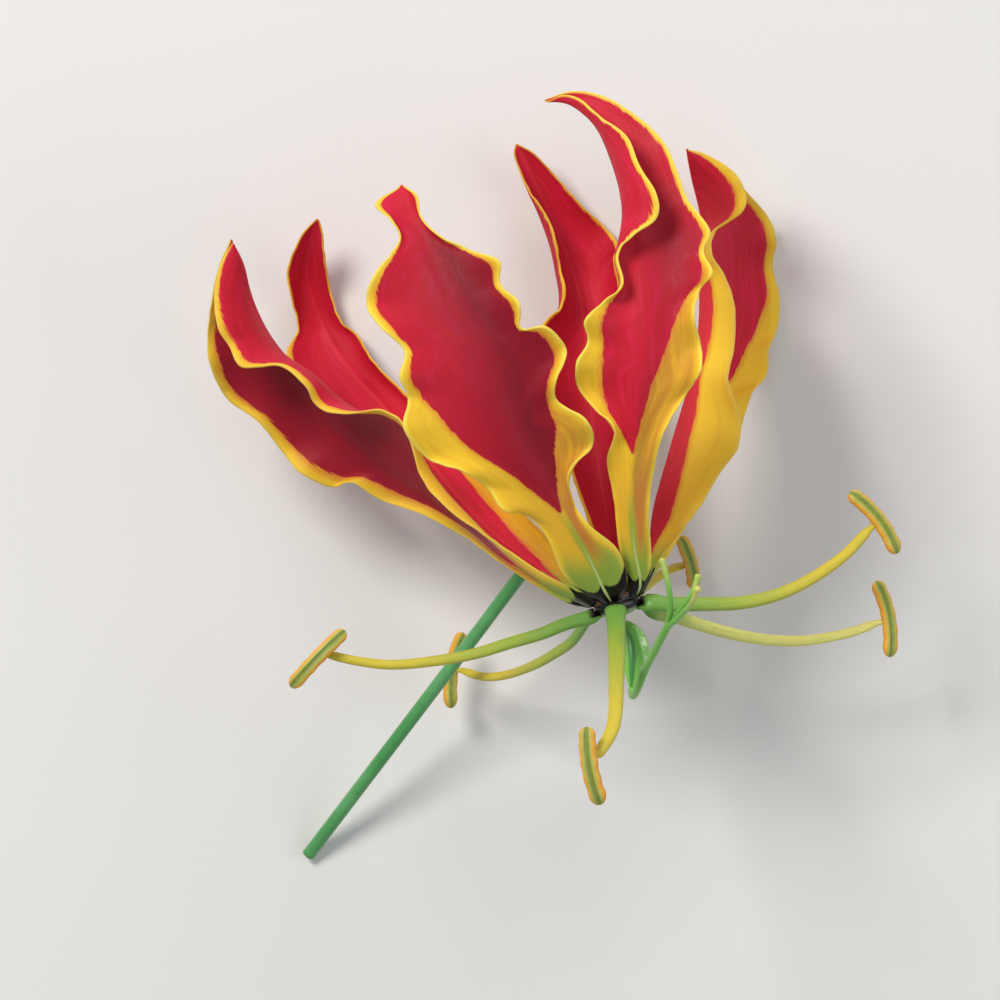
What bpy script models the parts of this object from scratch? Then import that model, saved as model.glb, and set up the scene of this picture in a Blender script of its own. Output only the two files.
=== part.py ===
"""A glory lily bloom, cut with its flower stalk and laid on a flat surface.

Six reflexed petals with waved edges, six stamens (a filament with an anther on its end), an ovary, a
style with three branches and the stalk with its receptacle. +Z is up. The flower's own axis lies level,
and it rests on the back-left petal, the edge of the right petal and the cut end of the stalk.
"""

import bpy
import bmesh
import numpy as np
from mathutils import Vector

# Driving dimensions, in millimetres
MM = 0.001
FLOWER_BASE = Vector((10.6, -21.0, 43.77))  # middle of the receptacle above the surface, in the part's frame
RECEPTACLE_RADIUS = 4.2
RECEPTACLE_HALF_HEIGHT = 2.0
JOINT_GAP = 0.3  # clearance between neighbouring pieces
PETAL_THICKNESS = 0.7
PETAL_TIP_HALF_WIDTH = 0.7
CLAW_HALF_ANGLE = 21.0  # degrees of the receptacle's ring that half a petal's claw takes
CLAW_BELLY = 0.6  # how far each half of a claw swells towards its inner face, which leaves a valley at the keel
CLAW_MIDDLE = 0.11  # share of the petal's length where a claw swells most
CLAW_SPREAD = 0.11  # share of the length over which that swelling fades
PETAL_LEVEL = 0.9  # along the flower's axis, from the receptacle's middle
FILAMENT_LEVEL = -0.9
FILAMENT_BASE_RADIUS = 1.15
FILAMENT_TIP_RADIUS = 0.7
FILAMENT_ROOT_STEP = 1.5  # straight out from the receptacle before a filament bends
ANTHER_LENGTH = 13.0
ANTHER_RADIUS = 1.2
ANTHER_BOW = 1.1  # how far the middle of an anther stands off the line between its ends
ANTHER_END_GIRTH = 0.2  # share of the radius that is left at an anther's blunt ends
ANTHER_TAPER_POWER = 4  # the higher, the later an anther narrows towards its ends
OVARY_RADIUS = 2.3
OVARY_LOBE = 0.14  # depth of the three furrows, as a share of the radius
OVARY_SWELL_POWER = 0.6  # below 1, the ovary is fuller than a sine between its ends
STYLE_RADIUS = 0.65
STIGMA_ROOT_SHARE = 0.85  # a stigma branch's radius where it leaves the style, as a share of the style's
STIGMA_RADIUS = 0.45
STALK_RADIUS = 1.12
STALK_START_LEVEL = 0.6  # the stalk starts inside the receptacle, this far up its axis
WELD_DISTANCE = 0.001

# Outlines are (x, y, depth): x and y are pixels of a front view at this scale, and depth is in millimetres
# towards the viewer, which is up in the part's frame.
PIXELS_PER_MM = 6.0
BASE_PIXEL = (617.0, 605.0)

# Mesh density
PETAL_STEPS_ALONG = 36
PETAL_STEPS_ACROSS = 10
PATH_SAMPLES = 16  # between two control points, before a path is divided evenly
FILAMENT_RINGS = 16
ANTHER_RINGS = 9
OVARY_RINGS = 17
OVARY_SIDES = 18
STYLE_RINGS = 12
STIGMA_RINGS = 9
STALK_RINGS = 46
RECEPTACLE_SEGMENTS = (20, 10)  # round and along the axis

# The margins' waves
SMOOTHING_SHARE = 0.16  # share of a margin's length over which its waves even out
WAVE_POWER = 2.4  # how fast the waves die away from the margin to the keel
WAVE_DEPTH = 0.7  # share of the waves' depth in the outlines that is kept

# The flower's axis leans a little to the left in the front view; RIGHT and FRONT span the ring it carries.
AXIS = Vector((-0.24, 0.971, 0.0)).normalized()
FRONT = Vector((0.0, 0.0, 1.0))
RIGHT = AXIS.cross(FRONT)

# Each petal is a keel and two margins, from the receptacle to the tip. A margin's depth is counted from the
# keel's. Left and right are as seen on the inner face with the tip up. "angle" is the petal's place on the
# ring, in degrees from the front towards the right, and "belly" bows each half towards its inner face.
PETALS = {
    "petal_front_left": {
        "angle": -10,
        "keel": [(602, 585, 7), (585, 550, 11), (552, 500, 16), (515, 455, 20), (492, 400, 22.5),
                 (478, 350, 23), (450, 300, 22), (428, 250, 19.5), (410, 218, 17), (402, 187, 14.5)],
        "left": [(582, 591, -0.5), (562, 572, -1), (549, 541, 1), (530, 516, -1), (503, 510, 2), (487, 488, 0),
                 (462, 471, 3), (428, 459, 0), (405, 430, 3), (409, 400, 0.5), (401, 378, 3.5), (405, 352, 0.5),
                 (384, 331, 3), (368, 308, 0), (374, 279, 3), (400, 243, 1), (391, 221, 3), (376, 206, 1)],
        "right": [(626, 580, 1), (617, 549, 1), (588, 524, 3), (571, 498, 1), (569, 470, 4.5), (592, 446, 1),
                  (586, 421, 4.5), (557, 402, 1), (556, 380, 4.5), (566, 352, 1), (546, 329, 4.5),
                  (521, 330, 1.5), (519, 305, 4.5), (500, 286, 1), (499, 263, 4), (470, 252, 1), (442, 239, 3),
                  (422, 221, 1), (418, 199, 2)],
        "belly_left": [0, -0.6, -1.2, -1.6, -1.4, -0.8, -0.3],
        "belly_right": [0, -0.8, -1.6, -2.0, -1.6, -0.8, -0.3],
    },
    "petal_front_right": {
        "angle": 50,
        "keel": [(640, 580, 5), (634, 545, 8.5), (630, 500, 12.5), (633, 450, 16.5), (639, 400, 19.5),
                 (644, 350, 21), (642, 300, 21), (633, 250, 19), (625, 205, 15.5), (613, 162, 11.5),
                 (597, 126, 8), (573, 104, 5.5), (545, 101, 4)],
        "left": [(628, 578, 0.5), (619, 545, 0), (614, 500, 1), (607, 460, 0), (614, 429, 5), (596, 411, 2),
                 (577, 388, 0), (576, 364, 3.5), (587, 343, 0.5), (584, 322, 3.5), (602, 304, 0.5), (621, 287, 4),
                 (617, 256, 3), (632, 238, 6), (655, 221, 8), (655, 197, 10), (638, 168, 9), (626, 139, 8),
                 (600, 119, 5.5), (580, 101, 3), (562, 96, 1)],
        "right": [(650, 570, 1), (650, 548, 0), (648, 512, 1.5), (653, 468, 0), (665, 428, 2.5), (685, 395, 0),
                  (699, 372, 3.5), (699, 345, 0), (692, 318, 3.5), (698, 292, 0), (711, 275, 3.5), (702, 254, 0),
                  (708, 232, 2.5), (687, 202, 0), (677, 176, 1.5), (664, 145, 0), (638, 119, 1), (605, 98, 0),
                  (575, 92, 0)],
        "belly_left": [0, -0.6, -1.2, -1.4, -1.4, -2.2, -2.0, -0.8, -0.2],
        "belly_right": [0, -0.8, -1.4, -1.8, -1.6, -1.4, -1.0, -0.5, -0.2],
    },
    "petal_right": {
        "angle": 105,
        "keel": [(648, 572, -4), (655, 510, -10), (675, 445, -17), (693, 385, -23.5), (705, 330, -29),
                 (711, 280, -31.5), (710, 240, -30), (704, 205, -26), (696, 175, -22), (688, 147, -17)],
        "left": [(660, 558, 4), (676, 537, 7), (700, 506, 10), (722, 470, 12), (738, 448, 13.5), (741, 418, 11.5),
                 (729, 380, 14), (735, 348, 11.5), (736, 306, 13.5), (726, 273, 11), (713, 252, 11.5),
                 (718, 227, 9), (743, 211, 10), (748, 193, 7.5), (736, 170, 6), (708, 152, 2)],
        "right": [(661, 566, -2), (684, 530, -4), (712, 485, -6), (738, 442, -8), (749, 410, -11), (757, 389, -9),
                  (771, 372, -12), (773, 347, -10), (782, 325, -12.5), (784, 292, -11), (777, 262, -12.5),
                  (781, 236, -10), (772, 212, -11), (756, 194, -8), (740, 178, -7), (714, 158, -3)],
        "belly_left": [0, -1.2, -2.2, -2.4, -2.4, -2.0, -1.2, -0.4],
        "belly_right": [0, -1.0, -1.8, -2.2, -2.2, -1.8, -1.0, -0.4],
    },
    "petal_back": {
        "angle": 165,
        "keel": [(618, 585, -8), (612, 540, -16), (603, 490, -24), (594, 430, -32), (588, 370, -38),
                 (583, 310, -41.5), (570, 262, -42.5), (553, 220, -41.5), (536, 182, -38.5), (517, 140, -34)],
        "left": [(630, 575, 1), (629, 530, 1), (631, 480, 2.5), (632, 430, 1), (632, 380, 3), (630, 330, 1),
                 (624, 290, 3), (617, 254, 0.5), (620, 240, 2.5), (606, 222, 0.5), (580, 198, 2), (557, 172, 0.5),
                 (536, 150, 0.5)],
        "right": [(605, 575, 1.5), (592, 530, 3), (575, 480, 5), (560, 430, 6), (548, 385, 7.5), (540, 345, 6),
                  (546, 319, 8.5), (562, 305, 6), (566, 285, 8.5), (561, 265, 6.5), (556, 235, 8), (545, 208, 5.5),
                  (531, 189, 4.5), (522, 170, 2.5), (514, 150, 1)],
        "belly_left": [0, 0.8, 1.4, 1.6, 1.4, 0.8, 0.2],
        "belly_right": [0, 0.8, 1.4, 1.8, 1.8, 1.0, 0.2],
    },
    "petal_back_left": {
        "angle": -135,
        "keel": [(545, 572, -9), (495, 535, -15), (455, 495, -21), (418, 447, -28), (380, 405, -34.5),
                 (346, 368, -40), (322, 328, -43.3), (307, 288, -42.5), (303, 260, -39.5), (308, 237, -36),
                 (315, 216, -32)],
        "left": [(584, 580, 0.5), (550, 540, 1), (505, 495, 2.5), (470, 455, 1), (435, 418, 3.5), (405, 393, 1),
                 (372, 360, 4), (356, 334, 1.5), (337, 317, 4), (327, 284, 1.5), (322, 253, 2.5), (320, 230, 1)],
        "right": [(562, 595, 0.5), (525, 572, 2), (480, 530, 2.5), (430, 492, 4), (380, 450, 2), (335, 405, 4.5),
                  (302, 378, 2), (284, 352, 4.5), (295, 325, 2), (287, 290, 4), (285, 265, 2), (297, 236, 1.5)],
        "belly_left": [0, 0.8, 1.4, 1.6, 1.4, 0.8, 0.2],
        "belly_right": [0, 0.8, 1.4, 1.6, 1.4, 0.8, 0.2],
    },
    "petal_left": {
        "angle": -72,
        "keel": [(560, 592, 0), (530, 572, -2), (488, 543, -5), (430, 494, -8.5), (370, 442, -11), (320, 396, -12),
                 (287, 362, -11.5), (267, 336, -10), (254, 311, -8), (246, 288, -6), (241, 264, -4),
                 (231, 240, -2)],
        "left": [(572, 604, -0.5), (545, 590, -1.5), (500, 562, -3), (462, 535, -6), (418, 513, -4.5),
                 (380, 500, -7.5), (350, 482, -5), (330, 487, -8), (299, 473, -5.5), (281, 452, -8),
                 (256, 421, -5), (225, 398, -6.5), (209, 366, -3), (206, 340, -4), (210, 305, -1.5), (217, 272, -1)],
        "right": [(570, 588, 3), (540, 572, 5), (500, 545, 7), (450, 510, 9), (422, 478, 8), (405, 427, 11.5),
                  (380, 410, 9.5), (346, 414, 12), (318, 407, 9.5), (304, 384, 12), (280, 366, 9.5),
                  (242, 367, 11), (229, 346, 8), (218, 328, 8), (214, 298, 5), (219, 267, 2.5)],
        "belly_left": [0, -0.8, -1.4, -1.8, -1.8, -1.2, -0.4],
        "belly_right": [0, -0.8, -1.6, -2.0, -2.2, -1.6, -0.4],
    },
}

# Each stamen: the filament's place on the ring, the points it passes after its root, the width of the whole
# stamen against the others, and the two ends of its anther.
STAMENS = {
    "front": {
        "angle": -5,
        "path": [(616, 632, 11), (616, 658, 19), (615, 684, 26), (614, 709, 32), (610, 728, 36), (597, 750, 40.2)],
        "width": 1.3,
        "anther": [(582, 724, 42), (595.5, 800, 42)],
    },
    "left": {
        "angle": -65,
        "path": [(565, 624, 3), (540, 634, 4), (509, 643, 5.5), (480, 652, 7), (445, 659, 9), (395, 664, 11.5),
                 (357, 660, 13), (326, 653, 14)],
        "width": 0.95,
        "anther": [(345, 629, 16.2), (291, 685, 16.2)],
    },
    "lower_left": {
        "angle": -122,
        "path": [(573, 641, -9), (554, 655, -14), (535, 666, -19), (509, 676, -26), (484, 679, -31),
                 (462, 673, -35)],
        "width": 0.9,
        "anther": [(450, 643, -36.5), (441, 699, -36.5)],
    },
    "right": {
        "angle": 75,
        "path": [(668, 604, 1.5), (700, 604, 1), (740, 603, -1), (777, 595, -3), (810, 580, -5), (845, 556, -7),
                 (870, 530, -9)],
        "width": 1.1,
        "anther": [(856, 492, -9), (900, 549, -9)],
    },
    "lower_right": {
        "angle": 125,
        "path": [(655, 613, -4.5), (678, 618, -6), (706, 627, -8), (740, 636, -10), (775, 641, -12),
                 (810, 641, -14), (850, 634, -16), (879, 624, -18)],
        "width": 1.0,
        "anther": [(884, 583, -18), (897, 655, -18)],
    },
    "back": {
        "angle": 180,
        "path": [(622, 607, -12), (632, 599, -19), (645, 589, -26), (660, 578, -32), (674, 570, -36),
                 (687, 566, -39)],
        "width": 0.9,
        "anther": [(691, 545, -32), (703, 590, -40.5)],
    },
}
OVARY_PATH = [(624, 620.5, 0.0), (634, 636, 0.5), (638, 655, 1.0), (636, 676, 1.5), (632, 691, 2.0)]
STYLE_PATH = [(632.5, 697, 3.0), (636, 689, 6.5), (645, 667, 11), (655, 648, 15.5), (669, 620, 21)]
STIGMA_PATHS = [
    [(669, 608, 22.5), (667, 585, 24), (660, 557, 24)],
    [(679, 608, 23), (690, 593, 24.5), (697, 573, 24.5)],
    [(680, 613, 25), (690, 601, 28.5), (696, 586, 31.5)],
]
# The stalk leaves the receptacle inside the cup, hooks over between the two back petals and runs straight
# down to its cut end on the surface.
STALK_PATH = [(612, 596, 0), (608, 580, -0.8), (601, 560, -3), (588, 545, -7.5), (568, 541, -12.5),
              (545, 552, -16), (524, 572, -18), (480, 630, -22.7), (433, 692, -27.8), (380, 762, -33.5),
              (305, 861, -42.7)]


def clear_scene():
    for item in list(bpy.data.objects):
        bpy.data.objects.remove(item, do_unlink=True)


def principled(name, colour, roughness):
    material = bpy.data.materials.new(name)
    material.use_nodes = True
    shader = material.node_tree.nodes["Principled BSDF"]
    shader.inputs["Base Color"].default_value = (*colour, 1.0)
    shader.inputs["Roughness"].default_value = roughness
    shader.inputs["Metallic"].default_value = 0.0
    return material


def place(point):
    """An outline point in the flower's own millimetres, from the middle of the receptacle."""
    x = (point[0] - BASE_PIXEL[0]) / PIXELS_PER_MM
    y = (BASE_PIXEL[1] - point[1]) / PIXELS_PER_MM
    return Vector((x, y, point[2]))


def to_frame(point):
    return (FLOWER_BASE + Vector(point)) * MM


def ring_direction(angle):
    turn = np.radians(angle)
    return RIGHT * float(np.sin(turn)) + FRONT * float(np.cos(turn))


def ring_point(angle, level):
    """A root's place: just clear of the receptacle, at an angle round it and a level along its axis."""
    return ring_direction(angle) * (RECEPTACLE_RADIUS + JOINT_GAP) + AXIS * level


def smooth_path(points, count):
    """A Catmull-Rom curve through the points, divided into even lengths."""
    knots = np.array([tuple(p) for p in points], float)
    knots = np.vstack([2 * knots[0] - knots[1], knots, 2 * knots[-1] - knots[-2]])
    steps = np.linspace(0.0, 1.0, PATH_SAMPLES, endpoint=False)[:, None]
    curve = []
    for a, b, c, d in zip(knots, knots[1:], knots[2:], knots[3:]):
        curve.append(0.5 * (2 * b + (c - a) * steps + (2 * a - 5 * b + 4 * c - d) * steps**2
                            + (3 * b - a - 3 * c + d) * steps**3))
    curve = np.vstack([*curve, knots[-2]])
    lengths = np.concatenate([[0], np.cumsum(np.linalg.norm(np.diff(curve, axis=0), axis=1))])
    even = np.linspace(0, lengths[-1], count)
    return np.stack([np.interp(even, lengths, curve[:, k]) for k in range(3)], axis=1)


def smoothed(curve):
    """The curve with its waves evened out, and its ends kept."""
    reach = max(1, int(len(curve) * SMOOTHING_SHARE / 2))
    result = curve.copy()
    for i in range(1, len(curve) - 1):
        near = min(reach, i, len(curve) - 1 - i)
        result[i] = curve[i - near:i + near + 1].mean(axis=0)
    return result


def unit(vectors):
    return vectors / np.maximum(np.linalg.norm(vectors, axis=-1, keepdims=True), 1e-9)


def margin(points, root, tip, keel):
    """A margin's curve: its outline points, with the keel's depth added to each."""
    start = (root.x, root.y, root.z - keel[0][2])
    middle = [tuple(place(p)) for p in points]
    curve = smooth_path([start, *middle, (tip[0], tip[1], tip[2] - keel[-1][2])], len(keel))
    curve[:, 2] += keel[:, 2]
    return curve


def petal_curves(spec, steps):
    """The keel, the left and right margins, and the direction of the inner face on each half."""
    root = ring_point(spec["angle"], PETAL_LEVEL)
    keel = smooth_path([root, *(place(p) for p in spec["keel"])], steps + 1)
    along = unit(np.gradient(keel, axis=0))
    last_across = np.array(place(spec["left"][-1])) - np.array(place(spec["right"][-1]))
    last_across[2] = 0.0
    last_across = unit(last_across - along[-1] * last_across.dot(along[-1]))
    margins = {}
    for side, turn in (("left", -1), ("right", 1)):
        corner = ring_point(spec["angle"] + turn * CLAW_HALF_ANGLE, PETAL_LEVEL)
        tip = keel[-1] - turn * last_across * PETAL_TIP_HALF_WIDTH
        margins[side] = margin(spec[side], corner, tip, keel)
    return keel, along, margins


def petal_grid(spec, steps_along, steps_across):
    """Rows of points across the petal, from the claw to the tip, with the left margin first."""
    keel, along, margins = petal_curves(spec, steps_along)
    share = np.linspace(0, 1, steps_along + 1)
    rows = np.zeros((steps_along + 1, steps_across + 1, 3))
    for column, across in enumerate(np.linspace(-1, 1, steps_across + 1)):
        side = "left" if across < 0 else "right"
        reach = abs(across)
        calm = smoothed(margins[side])
        edge = calm + (margins[side] - calm) * (1.0, 1.0, WAVE_DEPTH)
        inner = unit(np.cross(along, calm - keel) if side == "left" else np.cross(calm - keel, along))
        belly = np.interp(share, np.linspace(0, 1, len(spec["belly_" + side])), spec["belly_" + side])
        belly += np.exp(-((share - CLAW_MIDDLE) / CLAW_SPREAD) ** 2) * (CLAW_BELLY - belly)
        control = (keel + calm) / 2 + 2 * belly[:, None] * inner
        bowed = (1 - reach) ** 2 * keel + 2 * reach * (1 - reach) * control + reach**2 * calm
        rows[:, column] = bowed + (edge - calm) * reach**WAVE_POWER
    return rows


def new_object(name, mesh, material, collection):
    item = bpy.data.objects.new(name, mesh)
    item.data.materials.append(material)
    collection.objects.link(item)
    return item


def make_petal(name, spec, material, collection):
    """A flat grid laid onto the petal's curves, and thickened into a blade."""
    rows = petal_grid(spec, PETAL_STEPS_ALONG, PETAL_STEPS_ACROSS)
    form = bmesh.new()
    bmesh.ops.create_grid(form, x_segments=PETAL_STEPS_ACROSS, y_segments=PETAL_STEPS_ALONG, size=1.0)
    for vertex in form.verts:
        column = round((vertex.co.x + 1) / 2 * PETAL_STEPS_ACROSS)
        row = round((vertex.co.y + 1) / 2 * PETAL_STEPS_ALONG)
        vertex.co = to_frame(rows[row, column])
    mesh = bpy.data.meshes.new(name)
    form.to_mesh(mesh)
    form.free()
    mesh.shade_smooth()
    item = new_object(name, mesh, material, collection)
    item.modifiers.new("triangles", "TRIANGULATE")
    blade = item.modifiers.new("blade", "SOLIDIFY")
    blade.thickness = PETAL_THICKNESS * MM
    blade.offset = 0.0
    return item


def make_tube(name, points, radii, material, collection):
    """A round tube with filled ends along a path in the flower's millimetres."""
    curve = bpy.data.curves.new(name, "CURVE")
    curve.dimensions = "3D"
    curve.bevel_depth = MM
    curve.bevel_resolution = 2
    curve.use_fill_caps = True
    spline = curve.splines.new("POLY")
    spline.points.add(len(points) - 1)
    for target, point, radius in zip(spline.points, points, radii):
        target.co = (*to_frame(point), 1.0)
        target.radius = radius
    spline.use_smooth = True
    return new_object(name, curve, material, collection)


def as_mesh(item, collection):
    """The same tube as a mesh with its caps welded, so that a Boolean can use it."""
    graph = bpy.context.evaluated_depsgraph_get()
    mesh = bpy.data.meshes.new_from_object(item.evaluated_get(graph))
    form = bmesh.new()
    form.from_mesh(mesh)
    bmesh.ops.remove_doubles(form, verts=form.verts, dist=WELD_DISTANCE * MM)
    form.to_mesh(mesh)
    form.free()
    name, material = item.name, item.data.materials[0]
    matrix = item.matrix_world.copy()
    bpy.data.objects.remove(item, do_unlink=True)
    welded = bpy.data.objects.new(name, mesh)
    welded.matrix_world = matrix
    collection.objects.link(welded)
    if not mesh.materials:
        mesh.materials.append(material)
    return welded


def join(item, others, helpers):
    """Fuses other meshes to the item by Boolean unions, and keeps them as helpers out of the render."""
    for other in others:
        union = item.modifiers.new("join_" + other.name, "BOOLEAN")
        union.operation = "UNION"
        union.solver = "EXACT"
        union.object = other
        other.hide_render = True
        other.display_type = "WIRE"
        for owner in list(other.users_collection):
            owner.objects.unlink(other)
        helpers.objects.link(other)


def make_stamen(name, spec, filament_material, anther_material, collection):
    root = ring_point(spec["angle"], FILAMENT_LEVEL)
    start = root + ring_direction(spec["angle"]) * FILAMENT_ROOT_STEP
    path = smooth_path([root, start, *(place(p) for p in spec["path"])], FILAMENT_RINGS)
    width = spec["width"]
    radii = np.linspace(FILAMENT_BASE_RADIUS, FILAMENT_TIP_RADIUS, len(path)) * width
    make_tube("filament_" + name, path, radii, filament_material, collection)

    # The anther lies across the filament's tip, just clear of it, and as far along its own line as measured.
    ends = [place(p) for p in spec["anther"]]
    line = (ends[1] - ends[0]).normalized()
    offset = (ends[0] + ends[1]) / 2 - Vector(path[-1])
    slide = offset.dot(line)
    away = (offset - line * slide).normalized()
    radius = ANTHER_RADIUS * width**0.5
    middle = Vector(path[-1]) + line * slide + away * (radii[-1] + JOINT_GAP + radius)
    share = np.linspace(-1, 1, ANTHER_RINGS)
    bow = [middle + line * (ANTHER_LENGTH / 2 * float(s)) - away * (ANTHER_BOW * float(s) ** 2) for s in share]
    girth = radius * np.sqrt(1 + ANTHER_END_GIRTH**2 - share**ANTHER_TAPER_POWER)
    make_tube("anther_" + name, bow, girth, anther_material, collection)


def make_ovary(material, collection):
    """A three-furrowed spindle, bent along its own short path."""
    rings = OVARY_RINGS
    path = smooth_path([place(p) for p in OVARY_PATH], rings)
    along = unit(np.gradient(path, axis=0))
    form = bmesh.new()
    bmesh.ops.create_uvsphere(form, u_segments=OVARY_SIDES, v_segments=rings - 1, radius=1.0)
    side = unit(np.cross(along, np.array(FRONT)))
    front = np.cross(side, along)
    for vertex in form.verts:
        level = np.arccos(np.clip(vertex.co.z, -1, 1)) / np.pi * (rings - 1)
        index = int(round(level))
        turn = np.arctan2(vertex.co.y, vertex.co.x)
        swell = np.sin(np.pi * index / (rings - 1)) ** OVARY_SWELL_POWER
        radius = OVARY_RADIUS * swell * (1 + OVARY_LOBE * np.cos(3 * turn))
        offset = side[index] * np.cos(turn) + front[index] * np.sin(turn)
        vertex.co = to_frame(path[index] + offset * radius)
    mesh = bpy.data.meshes.new("ovary")
    form.to_mesh(mesh)
    form.free()
    mesh.shade_smooth()
    return new_object("ovary", mesh, material, collection)


def make_style(material, collection, helpers):
    """The style bends up from the ovary's end and splits into three thin branches."""
    path = smooth_path([place(p) for p in STYLE_PATH], STYLE_RINGS)
    stem = as_mesh(make_tube("style", path, [STYLE_RADIUS] * len(path), material, collection), collection)
    branches = []
    for number, points in enumerate(STIGMA_PATHS, 1):
        branch_path = smooth_path([path[-2], *(place(p) for p in points)], STIGMA_RINGS)
        radii = np.linspace(STYLE_RADIUS * STIGMA_ROOT_SHARE, STIGMA_RADIUS, len(branch_path))
        tube = make_tube(f"stigma_{number}", branch_path, radii, material, collection)
        branches.append(as_mesh(tube, collection))
    join(stem, branches, helpers)
    return stem


def make_stalk(material, collection, helpers):
    """The stalk and the receptacle it carries, grown as one piece."""
    form = bmesh.new()
    around, upwards = RECEPTACLE_SEGMENTS
    bmesh.ops.create_uvsphere(form, u_segments=around, v_segments=upwards, radius=1.0)
    turn = AXIS.to_track_quat("Z", "Y").to_matrix()
    for vertex in form.verts:
        flat = Vector((vertex.co.x * RECEPTACLE_RADIUS, vertex.co.y * RECEPTACLE_RADIUS,
                       vertex.co.z * RECEPTACLE_HALF_HEIGHT))
        vertex.co = to_frame(turn @ flat)
    mesh = bpy.data.meshes.new("receptacle")
    form.to_mesh(mesh)
    form.free()
    receptacle = new_object("receptacle", mesh, material, collection)
    path = smooth_path([AXIS * STALK_START_LEVEL, *(place(p) for p in STALK_PATH)], STALK_RINGS)
    tube = make_tube("stalk", path, [STALK_RADIUS] * len(path), material, collection)
    stalk = as_mesh(tube, collection)
    join(stalk, [receptacle], helpers)
    return stalk


def main():
    clear_scene()
    scene = bpy.context.scene
    bloom = bpy.data.collections.new("glory_lily_bloom")
    helpers = bpy.data.collections.new("helpers")
    scene.collection.children.link(bloom)
    scene.collection.children.link(helpers)

    petal = principled("petal_crimson", (0.60, 0.02, 0.05), 0.45)
    filament = principled("filament_yellow_green", (0.55, 0.56, 0.10), 0.4)
    anther = principled("anther_olive_orange", (0.45, 0.35, 0.08), 0.6)
    pistil = principled("pistil_green", (0.16, 0.50, 0.12), 0.35)
    green = principled("stalk_green", (0.06, 0.36, 0.12), 0.4)

    for name, spec in PETALS.items():
        make_petal(name, spec, petal, bloom)
    for name, spec in STAMENS.items():
        make_stamen(name, spec, filament, anther, bloom)
    make_ovary(pistil, bloom)
    make_style(pistil, bloom, helpers)
    make_stalk(green, bloom, helpers)


main()
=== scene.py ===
import bpy
import bmesh
import math
import numpy as np
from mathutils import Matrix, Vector


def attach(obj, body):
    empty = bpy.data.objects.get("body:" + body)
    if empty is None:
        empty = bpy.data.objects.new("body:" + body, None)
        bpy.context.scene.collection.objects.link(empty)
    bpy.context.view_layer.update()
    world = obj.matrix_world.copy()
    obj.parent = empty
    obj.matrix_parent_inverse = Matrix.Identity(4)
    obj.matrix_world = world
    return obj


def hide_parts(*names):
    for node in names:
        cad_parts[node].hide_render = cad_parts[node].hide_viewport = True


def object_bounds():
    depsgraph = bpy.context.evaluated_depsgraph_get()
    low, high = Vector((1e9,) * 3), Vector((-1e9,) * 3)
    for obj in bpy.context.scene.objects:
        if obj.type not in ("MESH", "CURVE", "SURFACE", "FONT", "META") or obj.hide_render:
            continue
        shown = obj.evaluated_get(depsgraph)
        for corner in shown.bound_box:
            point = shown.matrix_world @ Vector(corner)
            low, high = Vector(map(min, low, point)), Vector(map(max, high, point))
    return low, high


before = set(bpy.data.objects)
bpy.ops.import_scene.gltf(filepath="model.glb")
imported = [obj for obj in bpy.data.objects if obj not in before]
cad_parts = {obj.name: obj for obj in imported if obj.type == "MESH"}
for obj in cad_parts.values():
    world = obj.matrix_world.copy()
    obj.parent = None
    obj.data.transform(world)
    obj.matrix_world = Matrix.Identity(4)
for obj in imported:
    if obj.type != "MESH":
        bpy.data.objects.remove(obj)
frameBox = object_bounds()

mm = 0.001
fullTurn = 2 * math.pi
viewScale = {"pixelsPerMm": 6.0, "basePixel": (617.0, 605.0), "pictureWidth": 1000.0}
flower = {
    "base": Vector((10.6, -21.0, 43.77)),  # middle of the receptacle in the frame, in millimetres
    "axis": Vector((-0.24, 0.971, 0.0)).normalized(),
    "front": Vector((0.0, 0.0, 1.0)),
    "receptacleRadius": 4.2,
    "receptacleHalfHeight": 2.0,
    "jointGap": 0.3,
    "tubeReference": (0.31, 0.17, 0.93),  # a direction that no round tube runs along
}
flower["right"] = flower["axis"].cross(flower["front"])


def place(point):
    # an outline point (pixels, pixels, millimetres deep) in the flower's own millimetres
    x = (point[0] - viewScale["basePixel"][0]) / viewScale["pixelsPerMm"]
    y = (viewScale["basePixel"][1] - point[1]) / viewScale["pixelsPerMm"]
    return Vector((x, y, point[2]))


def placeAll(points):
    return [place(point) for point in points]


def toFrame(point):
    return (flower["base"] + Vector(point)) * mm


def ringDirection(angle):
    turn = math.radians(angle)
    return flower["right"] * math.sin(turn) + flower["front"] * math.cos(turn)


def ringPoint(angle, level):
    return ringDirection(angle) * (flower["receptacleRadius"] + flower["jointGap"]) + flower["axis"] * level


def smoothPath(points, count, between=16):
    # a Catmull-Rom curve through the points, divided into even lengths
    knots = np.array([tuple(p) for p in points], float)
    knots = np.vstack([2 * knots[0] - knots[1], knots, 2 * knots[-1] - knots[-2]])
    steps = np.linspace(0.0, 1.0, between, endpoint=False)[:, None]
    curve = []
    for a, b, c, d in zip(knots, knots[1:], knots[2:], knots[3:]):
        curve.append(0.5 * (2 * b + (c - a) * steps + (2 * a - 5 * b + 4 * c - d) * steps**2
                            + (3 * b - a - 3 * c + d) * steps**3))
    curve = np.vstack([*curve, knots[-2]])
    lengths = np.concatenate([[0], np.cumsum(np.linalg.norm(np.diff(curve, axis=0), axis=1))])
    even = np.linspace(0, lengths[-1], count)
    return np.stack([np.interp(even, lengths, curve[:, k]) for k in range(3)], axis=1)


def pathLength(path):
    return np.linalg.norm(np.diff(path, axis=0), axis=1).sum()


def unit(vectors):
    return vectors / np.maximum(np.linalg.norm(vectors, axis=-1, keepdims=True), 1e-9)


def directions(path):
    return unit(np.gradient(path, axis=0))


def profile(pairs, shares):
    return np.interp(shares, [p[0] for p in pairs], [p[1] for p in pairs])


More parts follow.
